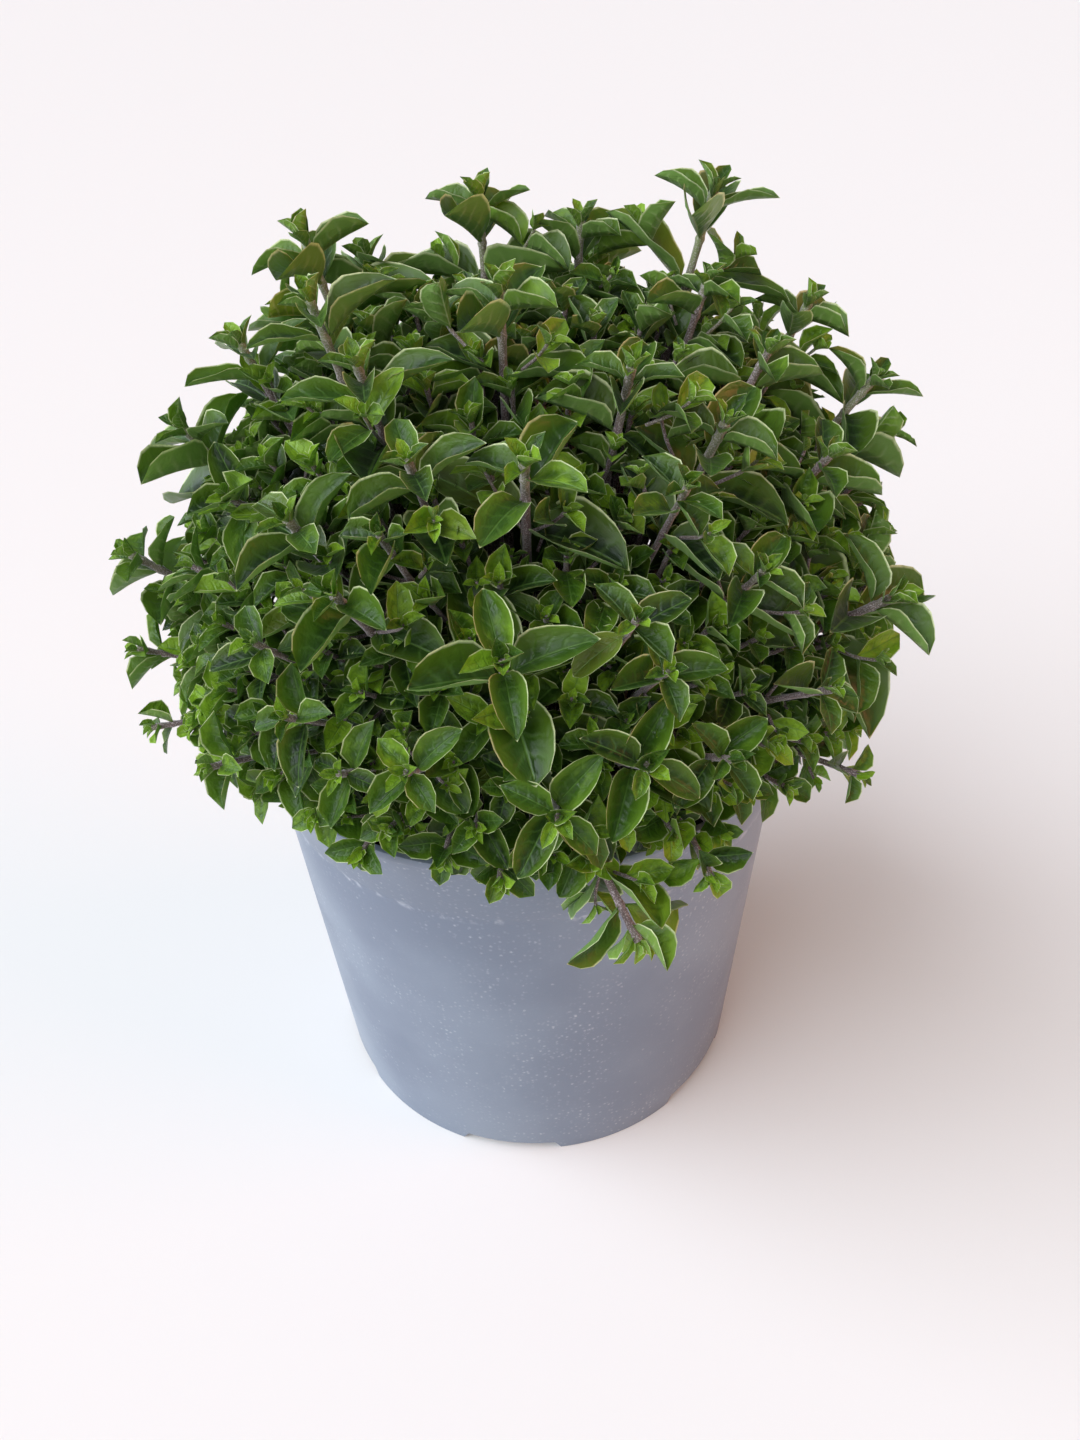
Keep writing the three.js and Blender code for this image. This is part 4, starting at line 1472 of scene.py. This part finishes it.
def makeSoil():
    form = potForm
    edge = wallRadius(soilForm["edge"]) - form["wall"] - soilForm["gap"]
    floor = form["floorTop"] + soilForm["gap"]
    count = int(edge / soilLook["ring"])
    radii = [edge * i / count for i in range(count + 1)]
    collar = wallRadius(form["collarHeight"]) - form["wall"] - soilForm["gap"]
    foot = wallRadius(floor) - form["wall"] - soilForm["gap"]
    points = [(radius, soilTop(radius)) for radius in radii]
    chamfer = soilLook["chamfer"]
    points += [(collar, form["collarHeight"]), (foot, floor + chamfer), (foot - chamfer, floor), (0, floor)]
    bm = bmesh.new()
    spinProfile(bm, points, soilLook["steps"], 0)
    for vert in bm.verts:
        radius = math.hypot(vert.co.x, vert.co.y) / mm
        if vert.co.z > (soilForm["edge"] - 1) * mm and radius < edge - 1:
            grains = soilLook["grainShare"] * noise.noise(vert.co * soilLook["grains"])
            vert.co.z += soilLook["bump"] * mm * (noise.noise(vert.co * soilLook["lumps"]) + grains)
    random = randomFor("crumbs")
    for _ in range(soilLook["crumbs"]):
        radius = (edge - soilLook["crumbInset"]) * math.sqrt(random())
        place = direction(360 * random(), 0) * radius
        place[2] = soilTop(radius) + soilLook["crumbRise"] * random()
        size = spanAt(soilLook["crumb"], random() ** 2)
        wide = size * mm * (soilLook["crumbLeast"] + soilLook["crumbUneven"] * random())
        stretch = Matrix.Diagonal((size * mm, wide, size * mm * soilLook["crumbHeight"], 1))
        turn = Matrix.Rotation(soilLook["crumbTurn"] * random(), 4, "Z")
        bmesh.ops.create_icosphere(
            bm, subdivisions=1, radius=1, matrix=Matrix.Translation(Vector(place) * mm) @ turn @ stretch
        )
    finishPiece(bm, "pottingMix", soilMaterial, ["soil"], soilLook["sharpFrom"])


makeSoil()
print("potting mix made")

# ---- stage, light and camera ----

stage = {
    "floorSize": 16,
    "skyColour": "#f2f4f9",
    "skyStrength": 0.38,
    # large soft lamps far away: azimuth, elevation, width as seen from the plant, strength, colour
    "lamps": {
        "key": (-68, 44, 62, 3.3, "#ecf3ff"),
        "window": (-102, 15, 40, 1.35, "#dfeaff"),
        "front": (-12, 30, 40, 0.6, "#fbfaf8"),
        "warm": (82, 16, 36, 1.3, "#ff965a"),
    },
}


def makeStage():
    bm = bmesh.new()
    bmesh.ops.create_grid(bm, x_segments=1, y_segments=1, size=stage["floorSize"] / 2)
    floor = newObject(bm, "floor")
    material, tree = newMaterial("paintedBoard")
    # Painted board: matt, plain and pale.
    surface = addNode(
        tree, "BsdfPrincipled", {"Base Color": paint["floor"], "Roughness": 0.7, "IOR": 1.45}
    )
    addNode(tree, "OutputMaterial", {0: surface})
    floor.data.materials.append(material)


def makeLamps():
    world = bpy.data.worlds.new("studio")
    bpy.context.scene.world = world
    world.use_nodes = True
    background = world.node_tree.nodes["Background"]
    background.inputs[0].default_value = linear(stage["skyColour"])
    background.inputs[1].default_value = stage["skyStrength"]
    for name, (azimuth, elevation, width, strength, colour) in stage["lamps"].items():
        lamp = bpy.data.lights.new(name, "SUN")
        lamp.angle = math.radians(width)
        lamp.energy = strength
        lamp.color = linear(colour)[:3]
        holder = bpy.data.objects.new(name, lamp)
        bpy.context.scene.collection.objects.link(holder)
        towards = Vector(direction(azimuth, elevation))
        holder.location = towards
        holder.rotation_euler = (-towards).to_track_quat("-Z", "Y").to_euler()


view = {
    "place": (4.75, -299.25, 380.95),
    "pitch": 38.43,
    "roll": -2.05,
    "focalShare": 1083 / 1440,
    "sensor": 36,
}


def makeCamera():
    pitch, roll = math.radians(view["pitch"]), math.radians(view["roll"])
    ahead = Vector((0, math.cos(pitch), -math.sin(pitch)))
    across = Vector((1, 0, 0))
    down = ahead.cross(across)
    c, s = math.cos(roll), math.sin(roll)
    right, below = across * c - down * s, across * s + down * c
    columns = [right, -below, -ahead, Vector(view["place"]) * mm]
    rows = [[column[r] for column in columns] for r in range(3)] + [[0, 0, 0, 1]]
    lens = bpy.data.cameras.new("camera")
    lens.sensor_width = view["sensor"]
    lens.lens = view["focalShare"] * view["sensor"]
    lens.clip_start = 0.01
    holder = bpy.data.objects.new("camera", lens)
    bpy.context.scene.collection.objects.link(holder)
    holder.matrix_world = Matrix(rows)
    bpy.context.scene.camera = holder


bpy.context.scene.view_settings.view_transform = "Standard"
makeStage()
makeLamps()
makeCamera()
print("stage, lamps and camera placed")
